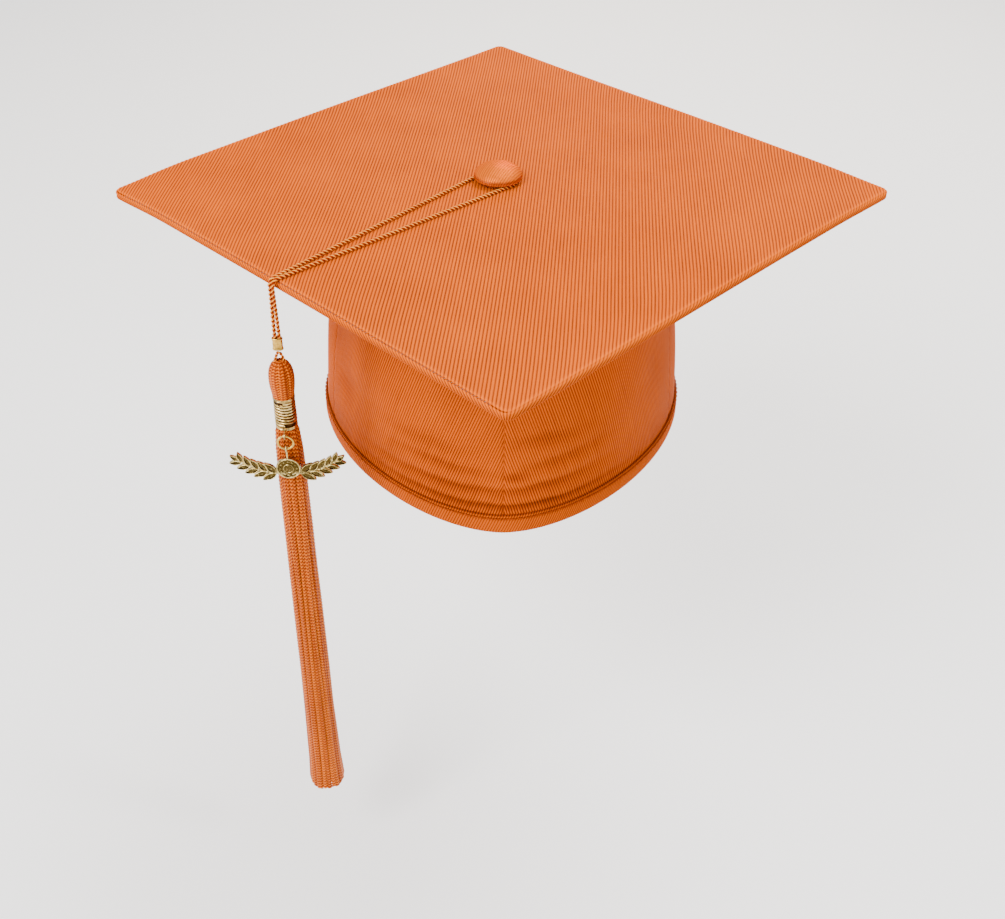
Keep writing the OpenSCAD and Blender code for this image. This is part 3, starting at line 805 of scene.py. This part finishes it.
def front_folds(t, h):
    """How the soft folds raise the front panels, and how much painted shade each place gets for
    lying deep in one.
    """
    side = np.mod(t, 360) - 270
    ripple = 0.25 * np.sin(side / 3.1 + 0.6) + 0.15 * np.sin(side / 1.7 + h / 6)
    out, deep = np.zeros(np.shape(t)), np.zeros(np.shape(t))
    for height, slope, wide, depth, place, half in FRONT_FOLDS:
        own = bump_at(h + ripple * min(1, wide / 2), height + slope * (side - place), wide)
        own = own * bump_at(side, place, half)
        out += 0.75 * depth * own
        # Painted shade in the hollow of each fold
        if depth < 0:
            deep += min(0.5, 0.9 / wide) * own
    return out * smooth(h / 9), np.clip(deep, 0, 1)


def crown_lift(t, v, h):
    lift = gathers(t, h) + front_folds(t, h)[0]
    lift += 0.22 * np.sin(np.radians(t) * 9 + h / 14) * np.sin(math.pi * v)
    return lift * smooth((1 - v) / 0.08)


def crown_panel(name, t0, t1, slant, columns_per_rib=5, rows=64):
    """One sewn panel: ribs stay parallel in its cloth, and its side edges dip into the seams."""
    v = np.linspace(0, 1, rows) ** 1.25
    tt = np.linspace(t0, t1, 500)
    step = CROWN_PITCH / columns_per_rib
    arcs, widest = [], 0
    for x in v:
        line = crown_outline(tt, np.full(tt.shape, x), 0.0)
        s = lengths(line)
        s -= s[-1] / 2
        arcs.append(s)
        widest = max(widest, s[-1])
    reach = widest + abs(slant) * CROWN_TOP / 2 + step
    count = int(reach / step)
    across = np.arange(-count, count + 1) * step
    t = np.empty((len(across), rows))
    edge = np.empty_like(t)
    for j, s in enumerate(arcs):
        place = across + slant * CROWN_TOP * (v[j] - 0.5)
        t[:, j] = np.interp(place, s, tt)
        edge[:, j] = np.clip(np.minimum(place - s[0], s[-1] - place), 0, None)
    vv = np.repeat(v[None], len(across), 0)
    h = (CROWN_TOP - rim_height(t)) * vv
    off = -crown_lift(t, vv, h) - rib(across, CROWN_PITCH, 0.2)[:, None] * smooth(edge / 0.9)
    off = off + 0.35 * np.exp(-((edge / 0.8) ** 2))
    inner = PANEL_T - 0.2 - crown_lift(t, vv, h)
    outside, inside = crown_point(t, vv, off), crown_point(t, vv, inner)
    # Painted shade: low on the crown just above the band, towards its sides and back, along its
    # seams and in its folds' hollows
    low_shade = 0.24 * np.exp(-((h - BAND_H) / 11) ** 2)
    back = smooth((np.abs(np.mod(t, 360) - 270) - 40) / 30) * 0.12
    painted_seam_shade = 0.12 * np.exp(-((edge / 0.6) ** 2))
    painted_shading = np.clip(front_folds(t, h)[1] + painted_seam_shade + low_shade + back, 0, 1)
    sheet(name, outside, inside, weave_of(across[:, None], h, painted_shading), CROWN_CLOTH,
          "crown_fabric", weld=True, replaces=(name.replace("_cloth", ""),), sharp=60)


crown_panel("crown_front_left_cloth", 180 - SIDE_SEAM, 360 + FRONT_SEAM, 0.34)
crown_panel("crown_front_right_cloth", FRONT_SEAM, SIDE_SEAM, -0.28)
crown_panel("crown_back_left_cloth", BACK_SEAM, 180 - SIDE_SEAM, 0.10, 4, 30)
crown_panel("crown_back_right_cloth", SIDE_SEAM, BACK_SEAM, -0.10, 4, 30)


def crown_patch(name, t0, t1, h0, h1, off, thick, material, slot, replaces, lift, nt=140, nh=24,
                edge=1.5):
    """A sheet on the inside of the crown, thinner at its edges, that follows the panels' folds."""
    t, h = np.meshgrid(np.linspace(t0, t1, nt), np.linspace(h0, h1, nh), indexing="ij")
    v = h / CROWN_TOP
    span = np.radians(abs(t1 - t0)) * RIM_HALF_W
    rim = np.minimum(np.minimum(t - t0, t1 - t) / (t1 - t0) * span, np.minimum(h - h0, h1 - h))
    full = thick * (0.45 + 0.55 * smooth(rim / edge))
    base = off - crown_lift(t, v, h)
    inside = crown_point(t, v, base + full + lift(t, h))
    outside = crown_point(t, v, base)
    sheet(name, outside, inside, weave_of(np.radians(t) * RIM_HALF_W, h, 0), material, slot,
          replaces=replaces, sharp=60)


def quilted(t, h):
    return 0.05 * np.sin(np.radians(t) * 60) * np.sin(h / 3)


SEAM_GAP = 5  # degrees from an interlining to the seam on each side of it
PATCH_LOW, PATCH_OFF = BAND_H + 1, PANEL_T + 0.02
for hand, side_seam, front_seam in (("left", 180 - SIDE_SEAM, 360 + FRONT_SEAM),
                                    ("right", SIDE_SEAM, FRONT_SEAM)):
    first, last = sorted((side_seam, front_seam))
    crown_patch(f"interlining_{hand}", first + SEAM_GAP, last - SEAM_GAP, PATCH_LOW,
                0.97 * CROWN_TOP, PATCH_OFF, INTERLINING_T, LINING, "lining",
                (f"front_interlining_{hand}",), quilted)


def elastic_ribs(t, h):
    return 0.09 * np.cos(2 * math.pi * (h - BAND_H) / 1.1)


def casing_folds(t, h):
    return 0.12 * np.sin(np.radians(t) * 70) + 0.05 * np.sin(np.radians(t) * 133)


ELASTIC_ARC, ELASTIC_W, ELASTIC_T = 60, 8, 0.95
CASING_ARC, CASING_W, CASING_T = 65, 9, 0.6
crown_patch("elastic_strip", BACK_SEAM - ELASTIC_ARC, BACK_SEAM + ELASTIC_ARC, PATCH_LOW,
            PATCH_LOW + ELASTIC_W, PATCH_OFF, ELASTIC_T, ELASTIC, "elastic", ("back_elastic",),
            elastic_ribs, 200, 34, 0.5)
crown_patch("elastic_casing_cloth", BACK_SEAM - CASING_ARC, BACK_SEAM + CASING_ARC, PATCH_LOW,
            PATCH_LOW + CASING_W, PANEL_T + 0.1 + ELASTIC_T, CASING_T, BAND_CLOTH,
            "band_fabric", ("elastic_casing",), casing_folds, 400, 10, 0.8)


def flange():
    """The crown's top edge, turned in under the board and notched so that it lies flat."""
    inset = np.array([0.1, 0.3, 1.2, 3.0, 5.0, 7.0, 7.9])
    t, off = np.meshgrid(np.linspace(0, 360, 540, endpoint=False), inset, indexing="ij")
    pleat = 0.16 * np.sin(np.radians(t) * 90) * smooth((off - 1) / 5)
    notches = 0.25 * np.sin(np.radians(t) * 45) * (off > 7)
    flat = crown_outline(t, np.ones(t.shape), off + notches)
    top, bottom = (np.concatenate([flat, z[..., None]], -1)
                   for z in (CROWN_TOP + 0.72 + 0 * t, CROWN_TOP + 0.10 + pleat))
    sheet("flange_cloth", top, bottom, weave_of(np.radians(t) * 75, off, 0), CROWN_CLOTH,
          "crown_fabric", True, replaces=("crown_flange",), flip=True)


flange()


# ---- The rim
def rim_line():
    """Gives the angle at a distance along the rim, and the rim's length."""
    t = np.linspace(0, 360, 2400)
    s = lengths(crown_outline(t, np.zeros(t.shape), -BAND_T))
    return (lambda x: np.interp(np.mod(x, s[-1]), s, t)), s[-1]


angle_at, RIM_LENGTH = rim_line()
SEAM_H = BAND_H - 1.5
BIAS = 0.45  # how far the band's ribs lean for each millimetre up it
STITCH_L, STITCH_GAP, STITCH_D = 2.5, 0.75, 0.62


def rim_point(t, h, off):
    point = crown_point(t, np.maximum(h, 0) / CROWN_TOP, off - gathers(t, h))
    point[..., 2] += np.minimum(h, 0)
    return point


def band():
    """The bias band folded round the rim, with its ribs on a slant."""
    inside = PANEL_T + BAND_T
    section = [(8.0, 0.02), (8.12, -0.35), (7.9, -0.75), (7.3, -0.95), (6.5, -0.78), (5.7, -1.0),
               (4.4, -1.12), (3.0, -1.15), (1.5, -1.1), (0.2, -1.0), (-0.6, -0.6), (-0.98, 0.1),
               (-1.05, 0.6), (-0.98, 1.2), (-0.6, 1.9), (0.2, inside - 0.05), (1.5, inside),
               (4.0, inside), (6.4, inside - 0.15), (7.6, inside), (8.05, inside - 0.4),
               (8.0, PANEL_T + 0.02)]
    ribs = round(RIM_LENGTH / CROWN_PITCH)
    pitch = RIM_LENGTH / ribs
    across = np.arange(ribs * 5) * pitch / 5
    h, off = np.array(section).T
    outer = np.where(off < 0.6, 1, -1)[None]
    s = across[:, None] + BIAS * h[None] * outer
    ribbing = rib(across, pitch, 0.18)[:, None] * smooth((8.2 - h) / 0.6)[None]
    drawn = 0.10 * np.sin(s / 3.2) * bump_at(h, SEAM_H, 1.2)[None]
    points = rim_point(angle_at(s), np.repeat(h[None], len(across), 0),
                       off[None] - ribbing * outer + drawn)
    # Painted shade along the stitched seam and at the band's top edge, where it turns in under the
    # crown
    painted_shading = np.clip(0.7 * bump_at(h, SEAM_H, 0.5) + 0.8 * smooth((h - 7.6) / 0.4), 0, 1)
    piece("band_cloth_ring", points, grid_faces(len(across), len(section), 0, True, True),
          BAND_CLOTH, "cap", "band_fabric",
          weave=weave_of(across[:, None] * CROWN_PITCH / pitch, h, painted_shading),
          replaces=("rim_band",), flip=True)


def stitch(s0):
    """One stitch: a twisted thread that rises out of the cloth and goes back into it."""
    k = np.linspace(0, 1, 9)
    rise = np.sin(math.pi * k) ** 0.6
    path = rim_point(angle_at(mix(s0, s0 + STITCH_L, k)), np.full(k.shape, SEAM_H),
                     -BAND_T + 0.22 - 0.34 * rise)
    return twisted(path, (0, 0, 1), STITCH_D / CORD_D, 1.3, 8)


def stitches():
    count = round(RIM_LENGTH / (STITCH_L + STITCH_GAP))
    points, faces, weave = joined([stitch(k * RIM_LENGTH / count) for k in range(count)])
    piece("rim_stitches", points, faces, THREAD, "cap", "thread", weave=weave,
          replaces=("rim_stitching",))


band()
stitches()


# ---- The button
def button_cloth():
    """Cloth gathered over the button's domed shell: dome, rolled rim, then pleats underneath."""
    r, rim_z, top_z = round_mm("button_cover")
    roll, pitch, columns = 1.5, 1.15, 72
    direction = math.radians(62)
    k = np.linspace(0, 1, 60)
    dome_r = (r - 0.35) * np.sin(k * math.pi / 2)
    dome_z = rim_z + roll + (top_z - rim_z - roll) * np.cos(k * math.pi / 2) ** 1.25
    a = np.linspace(0, 1, 24)[1:] * math.pi
    roll_r = r - 0.35 + 0.2 * np.sin(a / 2) - 0.45 * smooth((a / math.pi - 0.7) / 0.3)
    roll_z = rim_z - 0.3 + (roll + 0.3) * (1 + np.cos(a)) / 2
    under_r = np.linspace(roll_r[-1], 7.8, 14)[1:]
    under_z = np.full(under_r.shape, rim_z - 0.3)
    line = np.stack([np.r_[dome_r, roll_r, under_r], np.r_[dome_z, roll_z, under_z]], 1)
    far = lengths(line)
    rim_far = far[59]
    count = int(far[-1] / pitch) * 5
    across = np.arange(-count, count + 1) * pitch / 5
    half = np.sqrt(np.maximum(far[-1] ** 2 - across ** 2, 0))
    rows = np.linspace(-1, 1, columns)[None] * half[:, None]
    rho = np.hypot(across[:, None], rows)
    turn = np.arctan2(rows, across[:, None]) + direction - math.pi / 2
    at_r, at_z = np.interp(rho, far, line[:, 0]), np.interp(rho, far, line[:, 1])
    slope_r = np.interp(rho, far, np.gradient(line[:, 0], far))
    slope_z = np.interp(rho, far, np.gradient(line[:, 1], far))
    pleats = smooth((rho - rim_far - 1.0) / 3) * 0.3 * np.sin(turn * 22)
    lift = rib(across, pitch, 0.08)[:, None] + pleats - 0.15
    points = polar(BUTTON, at_r - slope_z * lift, turn, at_z + slope_r * lift)
    # Painted shade round the foot of the rolled rim and over the pleats underneath
    painted_shading = np.clip(0.7 * bump_at(rho, rim_far + 0.4, 0.7)
                      + 0.9 * smooth((rho - rim_far - 1.2) / 1.2), 0, 1)
    piece("button_cloth", points, grid_faces(*rho.shape), BUTTON_CLOTH, "cap", "ribbed_fabric",
          weave=weave_of(across[:, None] * BOARD_PITCH / pitch, rows, painted_shading), weld=True,
          replaces=("button_cover",))


def button_neck():
    """The gathered cloth between the button and the board, which the cord lies round."""
    r, low, high = round_mm("button_neck")
    k, turn = np.linspace(0, 1, 12)[None], around(144)[:, None]
    radius = r * (1 - 0.06 * np.sin(math.pi * k)) - 0.2 + 0.18 * np.sin(turn * 24)
    z = mix(low + 0.02, high - 0.05, k)
    sheet("button_neck_cloth", polar(BUTTON, radius, turn, z), polar(BUTTON, 1.7, turn, z),
          weave_of(turn * r, z, 0), BAND_CLOTH, "band_fabric", True, replaces=("button_neck",))


def backplate():
    """The pressed washer under the board, with a rolled edge and a raised ring."""
    r, low, high = round_mm("button_backplate")
    t = high - low
    profile = [(1.55, 0.0), (2.4, -0.05), (3.6, 0.0), (4.4, -0.35), (5.2, 0.0), (r - 1.2, 0.0),
               (r - 0.5, -0.15), (r - 0.1, 0.1), (r, t * 0.5), (r - 0.15, t * 0.9), (r - 0.5, t),
               (1.55, t)]
    points, faces = lathe(profile, (*BUTTON[:2], low), 96)
    piece("backplate_washer", points, faces, GOLD, "cap", "gold", replaces=("button_backplate",))


def rivet():
    """The rivet: a shank with a domed, dimpled head."""
    head_r, low, high = round_mm("button_rivet")
    shank_r, head_t = 1.5, 0.8
    profile = [(0.001, high), (shank_r - 0.2, high), (shank_r, high - 0.2),
               (shank_r, low + head_t), (head_r - 0.1, low + head_t), (head_r, low + head_t * 0.8),
               (head_r * 0.93, low + 0.25), (head_r * 0.7, low + 0.02), (head_r * 0.45, low),
               (1.0, low + 0.12), (0.001, low + 0.3)]
    points, faces = lathe(profile, (*BUTTON[:2], 0), 64)
    piece("rivet_turned", points, faces, GOLD, "cap", "gold", replaces=("button_rivet",))


button_cloth()
button_neck()
backplate()
rivet()


# ---- The tassel
CHAIN_PITCH, SKIRT_PITCH, SKIRT_STRANDS = 1.25, 1.9, 26
OVERLAP = 1.12  # how much wider a strand is than its share of its ring
# The skirt's inner rings: share of its radius, strands, and the first strand's place
INNER_RINGS = [(0.68, 14, 0.3), (0.34, 6, 0.1), (0.02, 1, 0.0)]


def chain(path, out, width, depth, shade, sides, swell, pitch=CHAIN_PITCH, start=0.0):
    """A chain-knit strand along a path: flat, with a row of Vs down its outer face."""
    along = np.gradient(path, axis=0)
    along /= np.linalg.norm(along, axis=1)[:, None]
    out = out - (out * along).sum(1)[:, None] * along
    out /= np.linalg.norm(out, axis=1)[:, None]
    across = np.cross(along, out)
    far, turn = lengths(path), around(sides)
    wave = np.mod(far[:, None] / pitch + start + 0.5 * np.abs(np.cos(turn))[None], 1)
    vee = 1 - np.abs(wave - 0.5) * 2
    split = 0.35 * (np.abs(np.cos(turn)) < 0.1)[None] * (np.sin(turn) > 0)[None]
    k = 1 + swell * (vee - 0.5) * 2 - split * 0.5
    width, depth = (np.broadcast_to(x, far.shape)[:, None] for x in (width, depth))
    points = (path[:, None] + (width / 2 * k * np.cos(turn))[..., None] * across[:, None]
              + (depth / 2 * k * np.sin(turn))[..., None] * out[:, None])
    # The Vs' crests are painted lighter and the split between them darker, a painted highlight and
    # shade
    weave = weave_of(np.clip(vee - split, 0, 1), far[:, None], shade)
    return points.reshape(-1, 3), rod_faces(len(path), sides), weave


def skirt_radius(share):
    return np.interp(share, [0, 0.01, 0.05, 0.12, 0.25, 0.5, 0.75, 0.92, 1],
                     [4.3, 5.1, 5.8, 6.2, 6.5, 6.9, 7.4, 8.2, 9.2])


def skirt_strand(ring, turn, count, step, sides):
    """One hanging strand of a ring of count; ring is its share of the skirt's radius."""
    long = COIL_LOW - SKIRT_LOW - 0.6 - rng.uniform(0, 3.2)
    k = np.linspace(0, 1, max(8, round(long / step)))
    z = COIL_LOW + 0.8 - k * (long + 0.8)
    share = (COIL_LOW - z) / (COIL_LOW - SKIRT_LOW)
    phase, size = rng.uniform(0, 2 * math.pi), rng.uniform(0.5, 1.0)
    wander = size * np.array([0.045, 0.03]) / max(ring, 0.3)
    a = turn + smooth(share * 4) * (wander[0] * np.sin(5.2 * share + phase)
                                    + wander[1] * np.sin(11 * share + 2 * phase))
    depth = 1.4
    radius = np.maximum(skirt_radius(share) * ring - depth / 2, 0.0)
    radius = radius - 0.3 * (1 + np.sin(8 * share + phase)) * smooth(share * 3) * size
    radius = np.clip(radius, 0, skirt_radius(share) - depth / 2 - 0.05)
    path, out = polar(TASSEL, radius, a, z), polar((0, 0), 1, a, 0)
    width = OVERLAP * 2 * math.pi * np.maximum(radius, 0.4) / count
    width = width * (1 + 0.15 * smooth((share - 0.97) / 0.03))
    return chain(path, out, width, depth, rng.uniform(0, 1), sides, 0.24, SKIRT_PITCH,
                 rng.uniform(0, 1))


def skirt():
    count = SKIRT_STRANDS
    outer = [skirt_strand(1.0, (k + 0.5) / count * 2 * math.pi + rng.uniform(-0.03, 0.03), count,
                          SKIRT_PITCH / 5, 10) for k in range(count)]
    inner = [skirt_strand(ring, (k + first) / strands * 2 * math.pi, strands, 0.6, 6)
             for ring, strands, first in INNER_RINGS for k in range(strands)]
    half = count // 2
    for name, parts in {"skirt_strands_back": outer[:half], "skirt_strands_front": outer[half:],
                        "skirt_strands_inner": inner}.items():
        points, faces, weave = joined(parts)
        o = piece(name, points, faces, YARN, "tassel", "skirt_yarn", weave=weave)
    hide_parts("tassel_skirt")


def tassel_head():
    """The head: knit strands that go over the core and are bound in at the bottom."""
    count, depth = 15, 1.5
    share = np.array([-0.02, 0.0, 0.03, 0.08, 0.16, 0.28, 0.45, 0.62, 0.8, 0.93, 1.0])
    radius = np.array([1.7, 2.5, 3.2, 3.9, 4.55, 5.1, 5.32, 5.28, 4.95, 4.65, 4.5])
    parts = []
    for k in range(count):
        turn = 2 * math.pi * (k + 0.5) / count
        z = HEAD_HIGH - share * (HEAD_HIGH - COIL_HIGH)
        lean = turn + 0.05 * math.sin(3 * k) * np.sin(math.pi * share)
        path = resampled(polar(TASSEL, radius - depth / 2, lean, z), CHAIN_PITCH / 5)
        x, y = (path[:, :2] - TASSEL).T
        r = np.hypot(x, y)
        out = polar((0, 0), 1, np.arctan2(y, x), -np.gradient(r, path[:, 2]))
        width = 2 * math.pi * (r + depth / 2) / count * OVERLAP
        parts.append(chain(path, out, width, depth, rng.uniform(0.4, 1.2), 12, 0.17))
    points, faces, weave = joined(parts)
    piece("head_strands", points, faces, YARN, "tassel", "cord", weave=weave,
          replaces=("tassel_head",))


def bound_yarn(node, radius, ridge, ridges, top_r, drop):
    """Yarn inside the head or the coil, ridged by its binding. top_r is its flat top's radius."""
    low, high = heights_mm(node)
    wall = [(radius + ridge * math.sin(z * ridges), z) for z in np.linspace(high - drop, low, 40)]
    top = [(top_r, high)] if top_r else []
    points, faces = lathe([(0.001, high), *top, *wall, (0.001, low)], (*TASSEL, 0), 48)
    piece(f"{node}_yarn", points, faces, CORE, "tassel", "core",
          weave=weave_of(0.5, points[:, 2], 0.5), replaces=(node,))


def link():
    """The small cord loop that joins the tassel's head to the ferrule."""
    pivot = joints["tassel_sway"][2]
    half = [(2.1, -6.4), (2, -4.9), (1.6, -3), (0.9, -1.1), (0.5, -0.35), (0, -0.1)]
    route = [[TASSEL[0] + x, TASSEL[1], pivot - 0.1 + z] for x, z in half]
    route += [[TASSEL[0] - x, TASSEL[1], pivot - 0.1 + z] for x, z in half[-2::-1]]
    path = resampled(route, 0.25)
    points, faces, weave = twisted(path, (0, 1, 0), 1.4 / 1.76, 3.2, 16)
    piece("link_cord", points, faces, CORD, "tassel", "cord", weave=weave,
          replaces=("link_loop",))


def oval(a, b):
    """The radius of a flattened wire: a towards its side, b across that."""
    return lambda i, turn: a * b / np.hypot(b * np.cos(turn), a * np.sin(turn)) + 0 * i


EYE_R, EYE_WIRE = 1.2, 0.7
RING = joints["ring_flip"]
CHARM = joints["charm_flip"]


def coil():
    """The gold wrap: a close wire coil between two plain bands, and the eye that holds the ring."""
    r, wire, turns = 4.5, 0.98, 8
    band_h = 1.5
    parts = []

    def add(points, faces, raised):
        parts.append((points, faces, even_weave(points, raised)))

    for z in (COIL_LOW, COIL_HIGH - band_h):
        profile = [(3.72, z), (4.3, z), (4.62, z + 0.18), (4.62, z + 0.42), (4.44, z + 0.6),
                   (4.44, z + band_h - 0.6), (4.62, z + band_h - 0.42),
                   (4.62, z + band_h - 0.18), (4.3, z + band_h), (3.72, z + band_h)]
        add(*lathe(profile, (*TASSEL, 0), 72), 1.0)
    # The sleeve shows only between the turns, and is painted darkest there as shade
    sleeve = [(3.72, COIL_LOW + 1), (4.02, COIL_LOW + 1), (4.02, COIL_HIGH - 1),
              (3.72, COIL_HIGH - 1)]
    add(*lathe(sleeve, (*TASSEL, 0), 72), 0.0)
    k = np.linspace(0, 1, turns * 56)
    a = 2 * math.pi * turns * k - math.pi / 2
    rise = (COIL_HIGH - COIL_LOW - 2 * band_h) / (turns + 1)
    z = COIL_HIGH - band_h - rise / 2 - rise * turns * k
    middle, section = r - wire / 2, oval(0.49 * rise, wire / 2)
    points, faces = tube(polar(TASSEL, middle, a, z), (0, 0, 1), section, 12)
    # Painted shade: the wire darkens towards the inside of each turn, between its neighbours
    outer = np.hypot(points[:, 0] - TASSEL[0], points[:, 1] - TASSEL[1]) - middle
    parts.append((points, faces, weave_of(smooth(outer / wire * 2.4 + 0.15), 0, 0)))
    eye = [[TASSEL[0] + 0.4, TASSEL[1] - 4.0, RING[2] + 0.9],
           [TASSEL[0] + 0.2, TASSEL[1] - 4.9, RING[2] + 1.0],
           [TASSEL[0] + 0.05, TASSEL[1] - 5.7, RING[2] + 1.1]]
    for turn in np.linspace(math.radians(48), math.radians(380), 22):
        eye.append([TASSEL[0] - 0.05, RING[1] + EYE_R * math.cos(turn),
                    RING[2] + EYE_R * math.sin(turn)])
    add(*tube(resampled(eye, 0.14), (1, 0, 0), round_wire(EYE_WIRE), 12), 1.0)
    points, faces, weave = joined(parts)
    piece("coil_gold", points, faces, COIL_GOLD, "tassel", "gold", weave=weave,
          replaces=("coil_wrap",), sharp=50)


def jump_ring():
    """A wire ring with its two cut ends almost meeting."""
    low, high = box_mm("jump_ring")
    wire = high[1] - low[1]
    r = (high[0] - low[0] - wire) / 2
    middle = (low + high) / 2
    cut, gap, n = 112, 4, 110
    turn = np.linspace(math.radians(cut), math.radians(cut + 360 - gap), n)
    path = np.stack([middle[0] + r * np.cos(turn), middle[1] + 0 * turn,
                     middle[2] + r * np.sin(turn)], 1)
    ends = np.minimum(np.arange(n), np.arange(n)[::-1])  # how far each point is from an end

    def radius(k, a):
        return wire / 2 * (1 - 0.12 * np.exp(-ends[k] / 1.2)) * (1 + 0 * a)

    points, faces = tube(path, (0, 1, 0), radius, 16)
    piece("jump_ring_wire", points, faces, GOLD, "ring", "gold", weave=even_weave(points, 1.0),
          replaces=("jump_ring",))


skirt()
tassel_head()
bound_yarn("head_core", 2.75, 0.12, 7, 1.6, 0.1)
bound_yarn("bound_neck", 3.6, 0.05, 9, 0, 0)
link()
coil()
jump_ring()


# ---- The charm
STEM_R, STEM_W, SPRIG_DIP, TIP_GAP = 34.0, 1.3, 3.6, 3.2
LEAF_PAIRS, BAIL_DROP, BAIL_R, BAIL_WIRE, MEDAL_R, CHARM_T = 5, 10.2, 1.25, 0.8, 5.2, 1.4


def relief(outline, thick, rim=0.42, sink=0.45, crown=0.0):
    """A cast piece from a closed outline: flat back, raised bright rim, sunken stippled field."""
    outline = np.asarray(outline, float)
    middle = outline.mean(0)
    inward = middle - outline
    reach = np.linalg.norm(inward, axis=1, keepdims=True)
    inward = inward / np.maximum(reach, 1e-6)
    steps = [(0.0, 0.12, 1), (0.0, thick - 0.28, 1), (0.08, thick - 0.1, 1), (0.2, thick, 1),
             (rim * 0.8, thick - 0.02, 1), (rim, thick - 0.16, 0.7),
             (rim + 0.12, thick - sink, 0.0)]
    rings, raised = [outline + inward * 0.1], [1.0]
    heights = [0.0]
    for inset, z, lit in steps:
        rings.append(outline + inward * np.minimum(inset, reach * 0.8))
        heights.append(z)
        raised.append(lit)
    for k in (0.5, 0.2):
        rings.append(middle + (rings[7] - middle) * k)
        heights.append(thick - sink + crown * (1 - k))
        raised.append(0.0)
    n = len(outline)
    points = np.concatenate([np.concatenate([ring, np.full((n, 1), z)], 1)
                             for ring, z in zip(rings, heights)])
    return points, rod_faces(len(rings), n), weave_of(np.repeat(raised, n), 0, 0.5)


def leaf_outline(long, wide):
    k = np.linspace(0, 1, 16)
    x = long * (1 - np.cos(math.pi * k)) / 2
    y = wide / 2 * np.sin(math.pi * (x / long) ** 0.9) ** 0.85
    return np.concatenate([np.stack([x, -y], 1), np.stack([x[1:-1], y[1:-1]], 1)[::-1]])


def turned_and_moved(part, turn, move, mirrored=False, lift=0.0):
    points, faces, weave = part
    c, s = math.cos(turn), math.sin(turn)
    p = points.copy()
    p[:, 0], p[:, 1] = points[:, 0] * c - points[:, 1] * s, points[:, 0] * s + points[:, 1] * c
    p[:, :2] += move
    p[:, 2] += lift
    if mirrored:
        p[:, 0] *= -1
        faces = [f[::-1] for f in faces]
    return p, faces, weave


def sprig(mirrored):
    """One laurel sprig: a curved stem with pairs of leaves and one at its tip."""
    low, high = box_mm("charm")
    reach = (high[0] - low[0]) / 2 - TIP_GAP
    span = math.asin(reach / STEM_R)
    centre = np.array([0, STEM_R - SPRIG_DIP])
    parts = []

    def on_stem(a, side=0.0):
        return centre + (STEM_R - STEM_W / 2 + side) * np.array([math.sin(a), -math.cos(a)])

    edge = [on_stem(span * k, STEM_W / 2) for k in np.linspace(0.08, 1, 26)]
    edge += [on_stem(span * k, -STEM_W / 2) for k in np.linspace(1, 0.08, 26)]
    strip = np.array(edge)
    n = len(strip) // 2
    section = ((0, 0), (0, 0.7), (0.18, 1.0), (0.5, 1.15), (0.82, 1.0), (1, 0.7), (1, 0))
    stem = np.stack([np.concatenate([mix(strip[:n], strip[::-1][:n], share),
                                     np.full((n, 1), float(z))], 1) for share, z in section], 1)
    stem = stem.reshape(-1, 3)
    faces = [face[::-1] for face in rod_faces(n, len(section))]
    parts.append((stem, faces, even_weave(stem, 0.8)))
    for k in range(1, LEAF_PAIRS + 1):
        for side in (-1, 1):
            a = span * (k + 0.35) / (LEAF_PAIRS + 0.6)
            leaf = relief(leaf_outline(7.6 - 0.45 * k, 3.5 - 0.2 * k), CHARM_T, crown=0.35)
            parts.append(turned_and_moved(leaf, a + side * math.radians(38), on_stem(a)))
    tip = relief(leaf_outline(5.0, 2.3), CHARM_T, crown=0.3)
    parts.append(turned_and_moved(tip, span, on_stem(span)))
    if mirrored:
        parts = [turned_and_moved(p, 0.0, np.zeros(2), True) for p in parts]
    return parts


def charm():
    """A laurel charm: two sprigs, a plain medallion between them, and the bail it hangs from."""
    parts = sprig(False) + sprig(True)
    turn = np.linspace(0, 2 * math.pi, 48, endpoint=False)
    disc = np.stack([np.cos(turn), np.sin(turn)], 1)
    parts.append(relief(disc * MEDAL_R, CHARM_T, rim=0.7, sink=0.5, crown=0.25))
    small = relief(disc[::2] * 2.3, 0.5, rim=0.3, sink=0.2, crown=0.3)
    parts.append(turned_and_moved(small, 0, np.zeros(2), lift=0.95))
    for a in around(12):
        bead = relief(disc[::4] * 0.36, 0.5, rim=0.08, sink=0.02, crown=0.05)
        parts.append(turned_and_moved(bead, a, 3.5 * np.array([math.cos(a), math.sin(a)]),
                                      lift=0.85))
    points, faces, weave = joined(parts)
    charm_z = CHARM[2] - BAIL_DROP
    placed = np.stack([TASSEL[0] + points[:, 0],
                       CHARM[1] + CHARM_T / 2 - points[:, 2], charm_z + points[:, 1]], 1)
    stem = [[TASSEL[0], CHARM[1], charm_z + MEDAL_R - 0.6],
            [TASSEL[0], CHARM[1], CHARM[2] - BAIL_R - 1.2]]
    for a in np.linspace(-math.pi / 2, 1.5 * math.pi - 0.15, 26):
        stem.append([TASSEL[0], CHARM[1] + BAIL_R * math.cos(a), CHARM[2] + BAIL_R * math.sin(a)])
    wire, wire_faces = tube(resampled(stem, 0.16), (1, 0, 0), round_wire(BAIL_WIRE), 12)
    every, faces, weave = joined([(placed, faces, weave),
                                  (wire, wire_faces, even_weave(wire, 1.0))])
    piece("charm_laurel", every, faces, CHARM_GOLD, "charm", "charm_gold", weave=weave,
          replaces=("charm",), sharp=55)


charm()


# ---- The CAD node that stays: the button's shell, out of sight under its cloth
shell = frame["nodes"]["button_shell"].data
shell.materials.clear()
shell.materials.append(SHELL)
